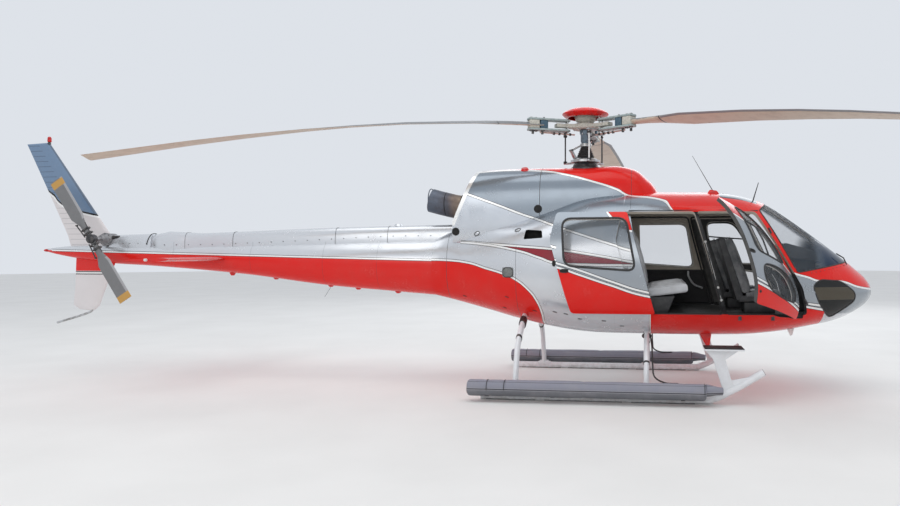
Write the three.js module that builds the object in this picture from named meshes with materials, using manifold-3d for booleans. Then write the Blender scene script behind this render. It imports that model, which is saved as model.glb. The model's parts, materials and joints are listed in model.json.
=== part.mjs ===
// A light single-engine helicopter on skids, as it stands parked: starboard front door
// open, starboard sliding door slid aft. Millimetres, nose along +X, port side +Y, up +Z,
// origin on the ground under the middle of the main rotor mast.

import * as THREE from 'three';
import { mergeVertices } from 'three/addons/utils/BufferGeometryUtils.js';
import Module from 'manifold-3d';

const wasm = await Module();
wasm.setup();

// Driving dimensions
const WALL = 40; // doors, roof and frames, skin to lining
const GLASS = 8;
const GAP = 0.3; // between pieces that touch
const DOOR_GAP = 6; // all round a door that moves
const FLOOR_Z = 930; // cabin floor and door sill
const RAIL_Z = 2140; // top of the side frames, foot of the roof
const BULKHEAD_X = 400; // back wall of the cabin
const NOSE_X = 2560; // joint of floor and nose
const PORT_SEAT_BACK = 110; // the port front seat stands this much further back
const HULL_TAIL_X = -1900; // joint of body and boom

const DOOR_ANGLE = 52; // how far the starboard front door stands open
const HINGE_LOW = [2545, 905, 950]; // on the port side, mirrored to starboard
const HINGE_HIGH = [2045, 800, 2000];
const SLIDE = [-740, -80, 0]; // the starboard sliding door, from closed to where it stands

const ROTOR_RADIUS = 5345;
const ROTOR_Z = 3180;
const BLADE_CHORD = 350;
// Columns: angle from the nose towards port, droop at the tip
const BLADES = [[206, 590], [325, 650], [85, 610]];
const TAIL_ROTOR = { x: -6447, y: -338, z: 1798, radius: 930, chord: 190, lean: 32.5 };

const SKID_Y = 1113;
const SKID_RADIUS = 45;
const SOLE = 0; // the skids are flat below here
const FLOAT = { y: 1251, z: 150, radius: 92, from: -1180, to: 1394 };

const paint = (color) => ({ color, roughness: 0.25, metalness: 0.1 });
const RED = paint(0xc8101c);
const SILVER = { color: 0x9aa3ad, roughness: 0.3, metalness: 0.6 };
const WHITE = paint(0xe8e8e6);
const TINT = { color: 0x39454f, roughness: 0.05, metalness: 0.0 };
const METAL = { color: 0x8b8f93, roughness: 0.35, metalness: 0.9 };
const BLACK = { color: 0x1d1e20, roughness: 0.6, metalness: 0.0 };
const GREY = { color: 0x6d7176, roughness: 0.7, metalness: 0.0 };
const FABRIC = { color: 0xa9a59c, roughness: 0.9, metalness: 0.0 };

const helicopter = new THREE.Group();

// Solids: a closed geometry becomes a manifold, is joined or cut, and comes back as a mesh

function bareCopy(geometry) {
  const copy = geometry.clone();
  copy.deleteAttribute('normal');
  copy.deleteAttribute('uv');
  return copy;
}

function toSolid(geometry) {
  const merged = mergeVertices(bareCopy(geometry), 1e-3);
  const vertProperties = new Float32Array(merged.attributes.position.array);
  const triVerts = new Uint32Array(merged.index.array);
  return new wasm.Manifold(new wasm.Mesh({ numProp: 3, vertProperties, triVerts }));
}

function toGeometry(solid) {
  const mesh = solid.getMesh();
  const geometry = new THREE.BufferGeometry();
  geometry.setAttribute('position', new THREE.BufferAttribute(mesh.vertProperties, 3));
  geometry.setIndex(new THREE.BufferAttribute(mesh.triVerts, 1));
  geometry.computeVertexNormals();
  return geometry;
}

function add(name, solid, look) {
  const mesh = new THREE.Mesh(toGeometry(solid), new THREE.MeshStandardMaterial(look));
  mesh.name = name;
  helicopter.add(mesh);
  return mesh;
}

const join = (first, ...rest) => rest.reduce((sum, solid) => sum.add(solid), first);
const cut = (first, ...rest) => rest.reduce((left, solid) => left.subtract(solid), first);

function placed(geometry, { move = [0, 0, 0], turn = [0, 0, 0] }) {
  const pose = new THREE.Matrix4().makeRotationFromEuler(new THREE.Euler(...turn, 'ZYX'));
  return geometry.clone().applyMatrix4(pose).translate(...move);
}

function mirrored(geometry) {
  const copy = geometry.toNonIndexed().scale(1, -1, 1);
  const p = copy.attributes.position;
  const flipped = new Float32Array(p.array.length);
  for (let i = 0; i < p.count; i += 3) {
    [0, 2, 1].forEach((from, to) => {
      flipped.set([p.getX(i + from), p.getY(i + from), p.getZ(i + from)], (i + to) * 3);
    });
  }
  const turned = new THREE.BufferGeometry();
  turned.setAttribute('position', new THREE.BufferAttribute(flipped, 3));
  return mergeVertices(turned, 1e-3);
}

// Loft: rings of as many points each, closed by a fan at both ends
function loft(rings) {
  const count = rings[0].length;
  const points = rings.flat();
  const index = [];
  for (let r = 0; r < rings.length - 1; r += 1) {
    for (let i = 0; i < count; i += 1) {
      const a = r * count + i;
      const b = r * count + ((i + 1) % count);
      index.push(a, b, b + count, a, b + count, a + count);
    }
  }
  [0, rings.length - 1].forEach((r) => {
    const centre = new THREE.Vector3();
    rings[r].forEach((point) => centre.addScaledVector(point, 1 / count));
    points.push(centre);
    for (let i = 0; i < count; i += 1) {
      const a = r * count + i;
      const b = r * count + ((i + 1) % count);
      index.push(...(r === 0 ? [b, a] : [a, b]), points.length - 1);
    }
  });
  const geometry = new THREE.BufferGeometry().setFromPoints(points);
  geometry.setIndex(index);
  return volume(geometry) > 0 ? geometry : reversed(geometry);
}

function volume(geometry) {
  const p = geometry.attributes.position;
  const corner = [new THREE.Vector3(), new THREE.Vector3(), new THREE.Vector3()];
  let sum = 0;
  for (let i = 0; i < geometry.index.count; i += 3) {
    corner.forEach((v, k) => v.fromBufferAttribute(p, geometry.index.getX(i + k)));
    sum += corner[0].dot(corner[1].clone().cross(corner[2]));
  }
  return sum;
}

function reversed(geometry) {
  geometry.setIndex(Array.from(geometry.index.array).reverse());
  return geometry;
}

// Outlines: corners pushed out by grow, then rounded
function outline(corners, radius = 0, grow = 0) {
  const count = corners.length;
  const at = (list, i) => list[(i + count) % count];
  const turning = corners.reduce((sum, [x, y], i) => {
    const [nx, ny] = at(corners, i + 1);
    return sum + x * ny - nx * y;
  }, 0);
  const side = turning > 0 ? 1 : -1;
  const unit = (from, to) => {
    const length = Math.hypot(to[0] - from[0], to[1] - from[1]);
    return [(to[0] - from[0]) / length, (to[1] - from[1]) / length];
  };
  const grown = corners.map((corner, i) => {
    const a = unit(at(corners, i - 1), corner);
    const b = unit(corner, at(corners, i + 1));
    const normal = [side * (a[1] + b[1]), -side * (a[0] + b[0])];
    const scale = grow / (1 + a[0] * b[0] + a[1] * b[1]);
    return [corner[0] + normal[0] * scale, corner[1] + normal[1] * scale];
  });
  const shape = new THREE.Shape();
  grown.forEach((corner, i) => {
    const [start, end] = [at(grown, i - 1), at(grown, i + 1)].map((next) => {
      const reach = Math.min(radius, 0.45 * Math.hypot(next[0] - corner[0], next[1] - corner[1]));
      const [dx, dy] = unit(corner, next);
      return [corner[0] + dx * reach, corner[1] + dy * reach];
    });
    if (i === 0) shape.moveTo(...start);
    else shape.lineTo(...start);
    if (radius > 0) shape.quadraticCurveTo(...corner, ...end);
  });
  shape.closePath();
  return shape;
}

// A prism across the machine, its outline in X and Z, from one Y to another
function prismY(corners, [from, to], radius = 0, grow = 0) {
  const options = { depth: to - from, bevelEnabled: false, curveSegments: 3 };
  const body = new THREE.ExtrudeGeometry(outline(corners, radius, grow), options);
  return toSolid(body.rotateX(Math.PI / 2).translate(0, to, 0));
}

// A prism upwards, its outline in X and Y
function prismZ(corners, [from, to], radius = 0, grow = 0) {
  const options = { depth: to - from, bevelEnabled: false, curveSegments: 3 };
  const body = new THREE.ExtrudeGeometry(outline(corners, radius, grow), options);
  return toSolid(body.translate(0, 0, from));
}

function block([x0, x1], [y0, y1], [z0, z1]) {
  const box = new THREE.BoxGeometry(x1 - x0, y1 - y0, z1 - z0);
  return toSolid(box.translate((x0 + x1) / 2, (y0 + y1) / 2, (z0 + z1) / 2));
}

// A round bar along Y, or standing along Z
function barY(radius, x, z, [from, to], sides = 24) {
  const bar = new THREE.CylinderGeometry(radius, radius, to - from, sides);
  return toSolid(bar.translate(x, (from + to) / 2, z));
}

function coneZ([low, high], [from, to], sides = 24, move = [0, 0]) {
  const bar = new THREE.CylinderGeometry(high, low, to - from, sides).rotateX(Math.PI / 2);
  return toSolid(bar.translate(move[0], move[1], (from + to) / 2));
}

// A turned body along X: its profile is pairs of X and radius
function turnedX(profile, [y, z], sides = 16) {
  const points = profile.map(([x, radius]) => new THREE.Vector2(radius, x));
  const body = new THREE.LatheGeometry(points, sides).rotateZ(-Math.PI / 2).translate(0, y, z);
  const whole = mergeVertices(bareCopy(body), 1e-3);
  return toSolid(volume(whole) > 0 ? whole : reversed(whole));
}

// A tube bent along points, round or flattened across its path
function tube(points, width, height = width, { sides = 10, steps = 12 } = {}) {
  const section = new THREE.Shape();
  section.absellipse(0, 0, height / 2, width / 2, 0, Math.PI * 2);
  const route = points.map((p) => new THREE.Vector3(...p));
  const path = new THREE.CatmullRomCurve3(route, false, 'centripetal');
  const round = new THREE.Shape(section.getSpacedPoints(sides).slice(0, sides));
  return toSolid(new THREE.ExtrudeGeometry(round, { steps, bevelEnabled: false, extrudePath: path }));
}

// Body: sections from the nose back to the boom.
// Columns: x, bottom, top, half width, height of the widest place, squareness low and high
const HULL = [
  [3366, 1120, 1225, 110, 1172, 2.0, 2.0],
  [3340, 1055, 1285, 230, 1170, 2.0, 2.0],
  [3280, 1000, 1355, 360, 1170, 2.0, 2.0],
  [3190, 945, 1432, 480, 1165, 2.1, 2.0],
  [3080, 885, 1525, 580, 1170, 2.2, 2.0],
  [2900, 815, 1672, 685, 1180, 2.3, 2.0],
  [2650, 760, 1860, 775, 1210, 2.4, 2.1],
  [2400, 710, 2040, 835, 1250, 2.5, 2.2],
  [2150, 672, 2200, 880, 1290, 2.5, 2.3],
  [1900, 650, 2290, 910, 1320, 2.5, 2.4],
  [1600, 642, 2335, 928, 1340, 2.5, 2.5],
  [1200, 638, 2345, 935, 1350, 2.5, 2.6],
  [600, 642, 2345, 934, 1350, 2.5, 2.6],
  [0, 660, 2300, 900, 1360, 2.5, 2.5],
  [-400, 715, 2180, 820, 1380, 2.4, 2.4],
  [-800, 800, 2080, 700, 1410, 2.3, 2.3],
  [-1200, 905, 2010, 540, 1440, 2.2, 2.3],
  [-1600, 1010, 1930, 380, 1445, 2.2, 2.2],
  [HULL_TAIL_X, 1080, 1810, 265, 1440, 2.1, 2.1],
];
const HULL_SIDES = 32;
const NOSE_START = 3000; // ahead of here the wall also needs depth along X

// One ring: two half ellipses, squared by their exponents, grown all round
function ring(x, low, high, half, middle, squareLow, squareHigh, grow, sides) {
  return Array.from({ length: sides }, (unused, i) => {
    const angle = ((i + 0.5) / sides) * Math.PI * 2;
    const [c, s] = [Math.cos(angle), Math.sin(angle)];
    const square = 2 / (s > 0 ? squareHigh : squareLow);
    const reach = (s > 0 ? high - middle : middle - low) + grow;
    const y = Math.sign(c) * Math.abs(c) ** square * (half + grow);
    return new THREE.Vector3(x, y, middle + Math.sign(s) * Math.abs(s) ** square * reach);
  });
}

function hull(grow) {
  const rows = HULL.map(([x, ...rest]) => {
    const ahead = Math.max(0, (x - NOSE_START) / (HULL[0][0] - NOSE_START));
    return ring(x + grow * ahead, ...rest, grow, HULL_SIDES);
  });
  return toSolid(loft(rows));
}

const hullSkin = hull(0);
const shell = cut(hullSkin, hull(-WALL));
const glassSkin = cut(hullSkin, hull(-GLASS));
const FAR = 1500; // past any side of the body
const halfOf = { right: [-FAR, 0], left: [0, FAR] };

// Side openings, corners as X and Z
const FRONT_DOOR = [[2520, 936], [2455, 1230], [2331, 1450], [1975, 2080], [1330, 2080], [1645, 936]];
const UPPER_WINDOW = [[1530, 2025], [1880, 2025], [2010, 1830], [2205, 1500], [2160, 1468], [1640, 1490]];
const LOWER_WINDOW = [[1740, 1365], [2000, 1390], [2250, 1350], [2370, 1220], [2390, 1075], [2130, 1062],
  [1830, 1100], [1720, 1230]];
const SLIDING_DOOR = [[1600, 936], [1288, 2080], [485, 2080], [425, 1760], [660, 936]];
const SLIDING_WINDOW = [[556, 2006], [1275, 2010], [1385, 1418], [592, 1474]];
const WINDSHIELD = [[2405, 1402], [3140, 1532], [2700, 2300], [2250, 2276], [2030, 2100]];
const CHIN_WINDOW = [[2570, 1255], [2650, 1325], [2900, 1305], [3070, 1180], [3070, 1085], [2790, 885],
  [2640, 1070]];
const CHIN_MIDDLE = 250; // solid nose between the two chin windows, half its width
// Under the front corner of each front door the sill is hollowed out, because the corner
// hangs inboard of the raked hinge line and dips as the door starts to open
const SILL_DIP = [[2150, 931], [2220, 908], [2320, 900], [2375, 888], [2485, 888], [2485, 931]];
const SILL_DIP_Y = 650;
const ROOF_WINDOW = [[1600, 110], [2050, 110], [2030, 430], [1600, 480]];
const WINDOW_ROUND = 45; // corners of the chin and roof windows
const PANE_ROUND = 95; // corners of the doors' windows
const POST_HALF = 30; // centre post between the two windshields

function twoSides(makeSolid, name, look) {
  const left = makeSolid();
  add(`${name}_left`, left, look);
  return add(`${name}_right`, toSolid(mirrored(toGeometry(left))), look);
}

const sideOf = (corners, radius, grow, y = [1, FAR]) => prismY(corners, y, radius, grow);
const windshieldCut = (grow) => cut(
  prismY(WINDSHIELD, [-FAR, FAR], 0, grow),
  block([0, 4000], [-POST_HALF + grow, POST_HALF - grow], [0, 3000]),
);

function makeCabin() {
  const cabinSpace = block([BULKHEAD_X, 3400], [-FAR, FAR], [0, 3000]);
  const bothSides = (corners, radius, grow) => prismY(corners, [-FAR, FAR], radius, grow);

  const belly = hullSkin.intersect(block([BULKHEAD_X + GAP, NOSE_X], [-FAR, FAR], [0, FLOOR_Z]));
  const dips = [sideOf(SILL_DIP, 0, 0, [SILL_DIP_Y, FAR]), sideOf(SILL_DIP, 0, 0, [-FAR, -SILL_DIP_Y])];
  add('belly_floor', cut(belly, crossTube('front', 3), ...dips), SILVER);

  const noseSpace = block([NOSE_X + GAP, 3500], [-FAR, FAR], [0, 1700]);
  const chin = bothSides(CHIN_WINDOW, WINDOW_ROUND, 0);
  const centre = block([0, 4000], [-CHIN_MIDDLE, CHIN_MIDDLE], [0, 3000]);
  const nose = cut(shell.intersect(noseSpace), bothSides(WINDSHIELD, 0, GAP), cut(chin, centre));
  add('nose_shell', nose, RED);
  twoSides(() => glassSkin.intersect(cut(sideOf(CHIN_WINDOW, WINDOW_ROUND, -GAP), centre))
    .intersect(noseSpace), 'chin_window', TINT);

  const roofSpace = block([BULKHEAD_X + GAP, 3400], [-FAR, FAR], [RAIL_Z + GAP, 3000]);
  const postSpace = block([1500, 3600], [-POST_HALF, POST_HALF], [1300, 2600]);
  const roofWindows = (grow) => join(
    prismZ(ROOF_WINDOW, [2000, 2500], WINDOW_ROUND, grow),
    prismZ(ROOF_WINDOW.map(([x, y]) => [x, -y]), [2000, 2500], WINDOW_ROUND, grow),
  );
  const post = cut(shell.intersect(bothSides(WINDSHIELD, 0, -GAP)).intersect(postSpace), roofSpace);
  const roof = cut(shell.intersect(roofSpace), windshieldCut(GAP), roofWindows(0));
  add('roof_shell', join(roof, post), RED);
  twoSides(() => glassSkin.intersect(prismZ(ROOF_WINDOW, [2000, 2500], WINDOW_ROUND, -GAP)),
    'roof_window', TINT);
  twoSides(() => cut(glassSkin.intersect(windshieldCut(-GAP)), block([0, 4000], [-FAR, 1], [0, 3000])),
    'windshield', TINT);

  const frameSpace = block([BULKHEAD_X + GAP, NOSE_X], [200, FAR], [FLOOR_Z + GAP, RAIL_Z]);
  twoSides(() => cut(shell.intersect(frameSpace), windshieldCut(GAP), sideOf(FRONT_DOOR, 40, DOOR_GAP),
    sideOf(SLIDING_DOOR, 40, DOOR_GAP)), 'side_frame', SILVER);
}

// Doors: panel and panes are cut closed, then the starboard ones go to where they stand
function makeDoors() {
  const low = new THREE.Vector3(HINGE_LOW[0], -HINGE_LOW[1], HINGE_LOW[2]);
  const hinge = new THREE.Vector3(HINGE_HIGH[0], -HINGE_HIGH[1], HINGE_HIGH[2]).sub(low).normalize();
  const opened = new THREE.Matrix4().makeTranslation(low)
    .multiply(new THREE.Matrix4().makeRotationAxis(hinge, THREE.MathUtils.degToRad(DOOR_ANGLE)))
    .multiply(new THREE.Matrix4().makeTranslation(low.clone().negate()));
  const slid = new THREE.Matrix4().makeTranslation(...SLIDE);
  // Columns: name, outline, windows as name and outline, place of the starboard one
  const doors = [
    ['front_door', FRONT_DOOR, [['upper_window', UPPER_WINDOW], ['lower_window', LOWER_WINDOW]], opened],
    ['sliding_door', SLIDING_DOOR, [['window', SLIDING_WINDOW]], slid],
  ];
  doors.forEach(([name, corners, windows, place]) => {
    const holes = windows.map(([, hole]) => sideOf(hole, PANE_ROUND, 0));
    const panel = () => cut(shell.intersect(sideOf(corners, 40, 0)), ...holes);
    const look = name === 'front_door' ? SILVER : RED;
    const movers = [twoSides(panel, name, look)];
    windows.forEach(([label, hole]) => {
      const pane = () => glassSkin.intersect(sideOf(hole, PANE_ROUND, -GAP));
      movers.push(twoSides(pane, `${name}_${label}`, TINT));
    });
    movers.forEach((mesh) => mesh.applyMatrix4(place));
  });
}

// Engine deck: two hoods over gearbox and engine, sections from front to back.
// Columns: x, top, half width, height where the sides start to round
const HOODS = [
  [905, 2330, 190, 2150],
  [860, 2415, 250, 2150],
  [760, 2520, 310, 2170],
  [660, 2610, 350, 2190],
  [540, 2655, 375, 2200],
  [0, 2662, 415, 2200],
  [-600, 2662, 440, 2180],
  [-1000, 2655, 430, 2150],
  [-1320, 2638, 400, 2130],
  [-1600, 2620, 370, 2100],
];
const HOOD_WALL = 18;
const HOOD_SPLIT_X = -510;
const HOOD_FOOT_Z = 1700;
const HOOD_SIDES = 24;
// What is cut away aft of the hood's raked back face, as X and Z
const HOOD_BACK = [[-1600, 1900], [-1600, 2000], [-1300, 2700], [-2200, 2700], [-2200, 1500], [-1600, 1500]];

function hood(grow) {
  const rows = HOODS.map(([x, top, half, round]) => (
    ring(x + (x > 0 ? grow : 0), HOOD_FOOT_Z - grow, top, half, round, 12, 2.9, grow, HOOD_SIDES)));
  return toSolid(loft(rows));
}

function makeDeck() {
  const back = prismY(HOOD_BACK, [-FAR, FAR]);
  const cover = cut(hood(0), back, hull(GAP));
  const inside = cut(hood(-HOOD_WALL), placedSolid(back, [HOOD_WALL, 0, 0]));
  const front = block([HOOD_SPLIT_X + GAP, 1500], [-FAR, FAR], [1000, 3000]);
  const rear = block([-2000, HOOD_SPLIT_X - GAP], [-FAR, FAR], [1000, 3000]);
  const mastHole = coneZ([MAST.well, MAST.well], [2400, 2800]);
  add('gearbox_hood', cut(cover, inside, mastHole).intersect(front), RED);
  const outlet = exhaustPipe(EXHAUST.radius + GAP);
  add('engine_hood', cut(cut(cover, inside).intersect(rear), outlet), SILVER);

  const engine = placed(new THREE.CylinderGeometry(215, 215, 850, 16), { turn: [0, 0, Math.PI / 2] });
  add('engine_block', cut(toSolid(engine.translate(-830, 0, 2330)), hull(GAP), outlet), METAL);
  const pipe = cut(exhaustPipe(EXHAUST.radius), exhaustPipe(EXHAUST.radius - EXHAUST.wall, 30));
  add('exhaust', cut(pipe, hull(GAP)), METAL);
}

function placedSolid(solid, move) {
  return toSolid(toGeometry(solid).translate(...move));
}

// Exhaust: a short pipe out of the back of the hood that turns up and aft
const EXHAUST = { radius: 150, wall: 12, from: -1270, bend: -1560, end: [-1980, 2285] };

function exhaustPipe(radius, past = 0) {
  const { from, bend, end } = EXHAUST;
  const points = [[from + past, 0, 2225], [bend, 0, 2195], [(bend + end[0]) / 2, 0, 2232],
    [end[0] - past, 0, end[1] + past * 0.25]];
  return tube(points, radius * 2, radius * 2, { sides: 14, steps: 5 });
}

// Boom, with the drive shaft's cover on top. Columns: x, bottom, top, half width
const BOOM = [
  [HULL_TAIL_X - GAP, 1080, 1808, 265],
  [-2550, 1130, 1785, 232],
  [-3300, 1190, 1765, 203],
  [-4500, 1335, 1740, 165],
  [-5150, 1392, 1725, 145],
  [-5900, 1447, 1720, 125],
  [-6450, 1478, 1725, 110],
  [-6950, 1545, 1715, 78],
  [-7250, 1598, 1690, 42],
  [-7400, 1632, 1668, 14],
];
// Columns: x, top, half width
const SHAFT_COVER = [
  [-1602, 1978, 125],
  [-1900, 1972, 120],
  [-3260, 1942, 105],
  [-5100, 1878, 92],
  [-5800, 1860, 85],
];

function boom(grow) {
  return toSolid(loft(BOOM.map(([x, low, high, half]) => (
    ring(x, low, high, half, (low + high) / 2, 2.1, 2.1, grow, 28)))));
}

// Wings and blades: stations along the span, each with leading edge, trailing edge, thickness
const AIRFOIL_STEPS = 6;

function wing(stations, across) {
  const normal = new THREE.Vector3(...across).normalize();
  return toSolid(loft(stations.map(([lead, trail, thick]) => {
    const nose = new THREE.Vector3(...lead);
    const chord = new THREE.Vector3(...trail).sub(nose);
    const surface = (step, sign) => {
      const t = (1 - Math.cos((step / AIRFOIL_STEPS) * Math.PI)) / 2;
      const swell = 1.6 * Math.sqrt(t) * (1 - t) + 0.06;
      const height = sign * thick * 0.5 * Math.min(1, swell * 1.25);
      return nose.clone().addScaledVector(chord, t).addScaledVector(normal, height);
    };
    const steps = Array.from({ length: AIRFOIL_STEPS + 1 }, (unused, i) => i);
    return [...steps.map((i) => surface(i, 1)), ...steps.reverse().map((i) => surface(i, -1))];
  })));
}

function makeTail() {
  const stabiliser = wing([-1265, -150, 150, 1265].map((y) => (
    [[-4700, y, 1540], [-5250, y, 1530], Math.abs(y) > 1000 ? 50 : 62])), [0, 0, 1]);
  const boomSolid = cut(boom(0), wing([-300, 300].map((y) => (
    [[-4700 + GAP, y, 1540], [-5250 - GAP, y, 1530], 62 + 4 * GAP])), [0, 0, 1]));
  add('tail_boom', boomSolid, RED);
  add('stabiliser', stabiliser, WHITE);

  const cover = toSolid(loft(SHAFT_COVER.map(([x, top, half]) => (
    ring(x, 1500, top, half, 1700, 12, 3.2, 0, 20)))));
  add('shaft_cover', cut(cover, boom(GAP), hull(GAP)), SILVER);

  const { x, z } = TAIL_ROTOR;
  const housing = (grow) => join(barY(95 + grow, x, z, [-200, 70 + grow]),
    block([-6460, -6270 + grow], [-70 - grow, 70 + grow], [1700, 1850 + grow]));
  add('tail_gearbox', cut(join(housing(0), barY(34, x, z, [-285, -190])), boom(GAP)), METAL);

  const fin = wing([
    [[-6180, 0, 1560], [-7000, 0, 1560], 105],
    [[-6460, 0, 1880], [-7085, 0, 1850], 100],
    [[-6815, 0, 2370], [-7345, 0, 2390], 80],
    [[-7362, 0, 3122], [-7700, 0, 3105], 48],
  ], [0, 1, 0]);
  const ahead = block([-6352, -6000], [-FAR, FAR], [1000, 3000]);
  add('upper_fin', cut(fin, boom(GAP), housing(GAP), ahead), SILVER);

  const lower = wing([
    [[-6350, 0, 1560], [-6960, 0, 1590], 90],
    [[-6505, 0, 1180], [-6975, 0, 1180], 70],
    [[-6615, 0, 900], [-7000, 0, 905], 55],
    [[-6700, 0, 832], [-6900, 0, 850], 40],
  ], [0, 1, 0]);
  const skidRod = tube([[-6640, 0, 1000], [-6720, 0, 842], [-6860, 0, 776], [-7245, 0, 664]], 30, 30,
    { sides: 8, steps: 8 });
  add('lower_fin', cut(join(lower, skidRod), boom(GAP)), WHITE);
}

// Main rotor: a plate star with three arms, sleeves that carry the blades, cap, mast and links
const STAR = { arm: 330, width: 110, centre: 165, thick: 46 };
const MAST = { radius: 52, well: 190, fixed: [2560, 2715], turning: [2725, 2785], boot: [2800, 2935] };
const CAP_Z = 3295;
const SLEEVE = { from: 210, to: 750, width: 150, plate: 24, open: 50 };
const HORN = { x: 205, y: -175 }; // each pitch link's place beside its sleeve

function around(angle) {
  return (geometry) => geometry.clone().rotateZ(THREE.MathUtils.degToRad(angle)).translate(0, 0, ROTOR_Z);
}

const turned = (solid, angle) => toSolid(around(angle)(toGeometry(solid)));

function bladeShape(droop) {
  // Columns: radius, chord, thickness, pitch in degrees with the leading edge up
  const stations = [[560, 120, 60, 8], [900, 190, 46, 10.5], [1150, BLADE_CHORD, 38, 11],
    [2200, BLADE_CHORD, 38, 9.6], [3300, BLADE_CHORD, 38, 6.8], [4400, BLADE_CHORD, 36, 2.5],
    [ROTOR_RADIUS, BLADE_CHORD, 32, -1]];
  return wing(stations.map(([r, chord, thick, pitch]) => {
    const z = -droop * (r / ROTOR_RADIUS) ** 2;
    const turn = THREE.MathUtils.degToRad(pitch);
    const at = (share) => [r, chord * share * Math.cos(turn), z - chord * share * Math.sin(turn)];
    return [at(-0.35), at(0.65), thick];
  }), [0, 0, 1]);
}

function pitchLink() {
  const low = MAST.turning[0] - ROTOR_Z;
  return join(
    coneZ([14, 14], [low, -SLEEVE.open - SLEEVE.plate - GAP], 8, [HORN.x, HORN.y]),
    block([120, HORN.x + 20], [-60, -20], [low, low + 30]),
    block([HORN.x - 20, HORN.x + 20], [HORN.y - 20, -20], [low, low + 30]),
  );
}

function makeRotor() {
  const arm = block([0, STAR.arm], [-STAR.width / 2, STAR.width / 2], [-STAR.thick / 2, STAR.thick / 2]);
  const low = ROTOR_Z - STAR.thick / 2 - 8;
  const high = ROTOR_Z + STAR.thick / 2 + 8;
  const plate = coneZ([STAR.centre, STAR.centre], [low, high]);
  add('rotor_star', join(plate, ...BLADES.map(([angle]) => turned(arm, angle))), METAL);

  const half = SLEEVE.width / 2;
  const top = SLEEVE.open + SLEEVE.plate;
  const sleeve = join(
    block([SLEEVE.from, SLEEVE.to], [-half, half], [SLEEVE.open, top]),
    block([SLEEVE.from, SLEEVE.to], [-half, half], [-top, -SLEEVE.open]),
    block([STAR.arm + 60, SLEEVE.to], [-half, half], [-top, top]),
    block([SLEEVE.from - 25, SLEEVE.from + 50], [HORN.y - 30, 10 - half], [-top, -SLEEVE.open]),
  );
  BLADES.forEach(([angle, droop], i) => (
    add(`main_blade_${i + 1}`, turned(join(sleeve, bladeShape(droop)), angle), GREY)));

  const capProfile = [[0, 118], [90, 114], [190, 88], [265, 40], [290, 0], [290, -14], [0, -14]];
  const cap = new THREE.LatheGeometry(capProfile.map(([r, z]) => new THREE.Vector2(r, z)).reverse(), 24);
  const dome = mergeVertices(bareCopy(cap.rotateX(Math.PI / 2).translate(0, 0, CAP_Z)), 1e-3);
  const stem = coneZ([60, 60], [high + GAP, CAP_Z + 1], 16);
  add('rotor_cap', join(toSolid(volume(dome) > 0 ? dome : reversed(dome)), stem), RED);

  const mast = coneZ([MAST.radius, MAST.radius], [2480, low - GAP], 16);
  const collar = coneZ([110, 64], MAST.boot, 20);
  add('rotor_mast', join(mast, collar), METAL);
  const hole = coneZ([MAST.radius + 8, MAST.radius + 8], [2400, 2800], 16);
  add('swashplate_fixed', cut(coneZ([MAST.well - GAP, 175], MAST.fixed, 24), hole), METAL);
  const turning = join(coneZ([185, 185], MAST.turning, 24),
    ...BLADES.map(([angle]) => turned(pitchLink(), angle)));
  const shaftHole = coneZ([MAST.radius + GAP, MAST.radius + GAP], [2700, 2799], 16);
  add('swashplate_turning', cut(turning, shaftHole), METAL);
}

// Tail rotor: one spar with two blades, turning about Y
function makeTailRotor() {
  const { x, y, z, radius, chord, lean } = TAIL_ROTOR;
  // Columns: distance from the hub, chord, thickness
  const stations = [[-radius, chord, 14], [-330, chord, 22], [-230, 90, 34], [-60, 80, 40],
    [60, 80, 40], [230, 90, 34], [330, chord, 22], [radius, chord, 14]];
  const blades = wing(stations.map(([r, wide, thick]) => (
    [[wide * 0.4, 0, r], [-wide * 0.6, 0, r], thick])), [0, 1, 0]);
  const hub = toSolid(new THREE.CylinderGeometry(62, 62, 90, 16));
  const turnedBlades = toSolid(placed(toGeometry(join(blades, hub)), {
    move: [x, y, z], turn: [0, -THREE.MathUtils.degToRad(lean), 0] }));
  add('tail_rotor', turnedBlades, GREY);
}

// Landing gear: cross tubes through the belly and body, skids with steps, floats outboard.
// Columns: x, height of the middle, half length of the straight middle
const CROSS_TUBES = { front: [762, 690, 420], rear: [-684, 900, 300] };
const CROSS_WIDTH = 105;
const CROSS_HEIGHT = 62;

function crossTube(which, grow = 0) {
  const [x, z, flat] = CROSS_TUBES[which];
  const end = [SKID_Y - 20, SKID_RADIUS * 2 + 18];
  const bow = [[flat, z], [flat + 240, z - 75], [(flat + end[0]) / 2 + 225, z * 0.62], end];
  const half = bow.map(([y, height]) => [x, y, height]);
  const points = [...half.map(([px, y, height]) => [px, -y, height]).reverse(), [x, 0, z], ...half];
  return tube(points, CROSS_WIDTH + 2 * grow, CROSS_HEIGHT + 2 * grow, { sides: 8, steps: 18 });
}

function skid() {
  const y = SKID_Y;
  const low = SKID_RADIUS - 4;
  const rail = tube([[-1060, y, low], [0, y, low], [1150, y, low], [1310, y, low + 2],
    [1480, y, 62], [1700, y - 5, 170], [2000, y - 15, 350]], 2 * SKID_RADIUS, 2 * SKID_RADIUS,
  { sides: 10, steps: 18 });
  const shoes = Object.values(CROSS_TUBES).map(([x]) => block([x - 95, x + 95], [y - 44, y + 44], [40, 107]));
  const brackets = [-980, -250, 1150].map((x) => block([x - 25, x + 25], [y, FLOAT.y - 60], [42, 62]));
  const post = prismY([[1590, 95], [1700, 130], [1560, 590], [1400, 590]], [y - 20, y + 20]);
  const plate = block([1370, 1790], [y - 165, y + 140], [588, 612]);
  const above = block([-2000, 3000], [0, 2000], [SOLE, 1000]);
  return join(rail, ...shoes, ...brackets, post, plate).intersect(above);
}

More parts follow.
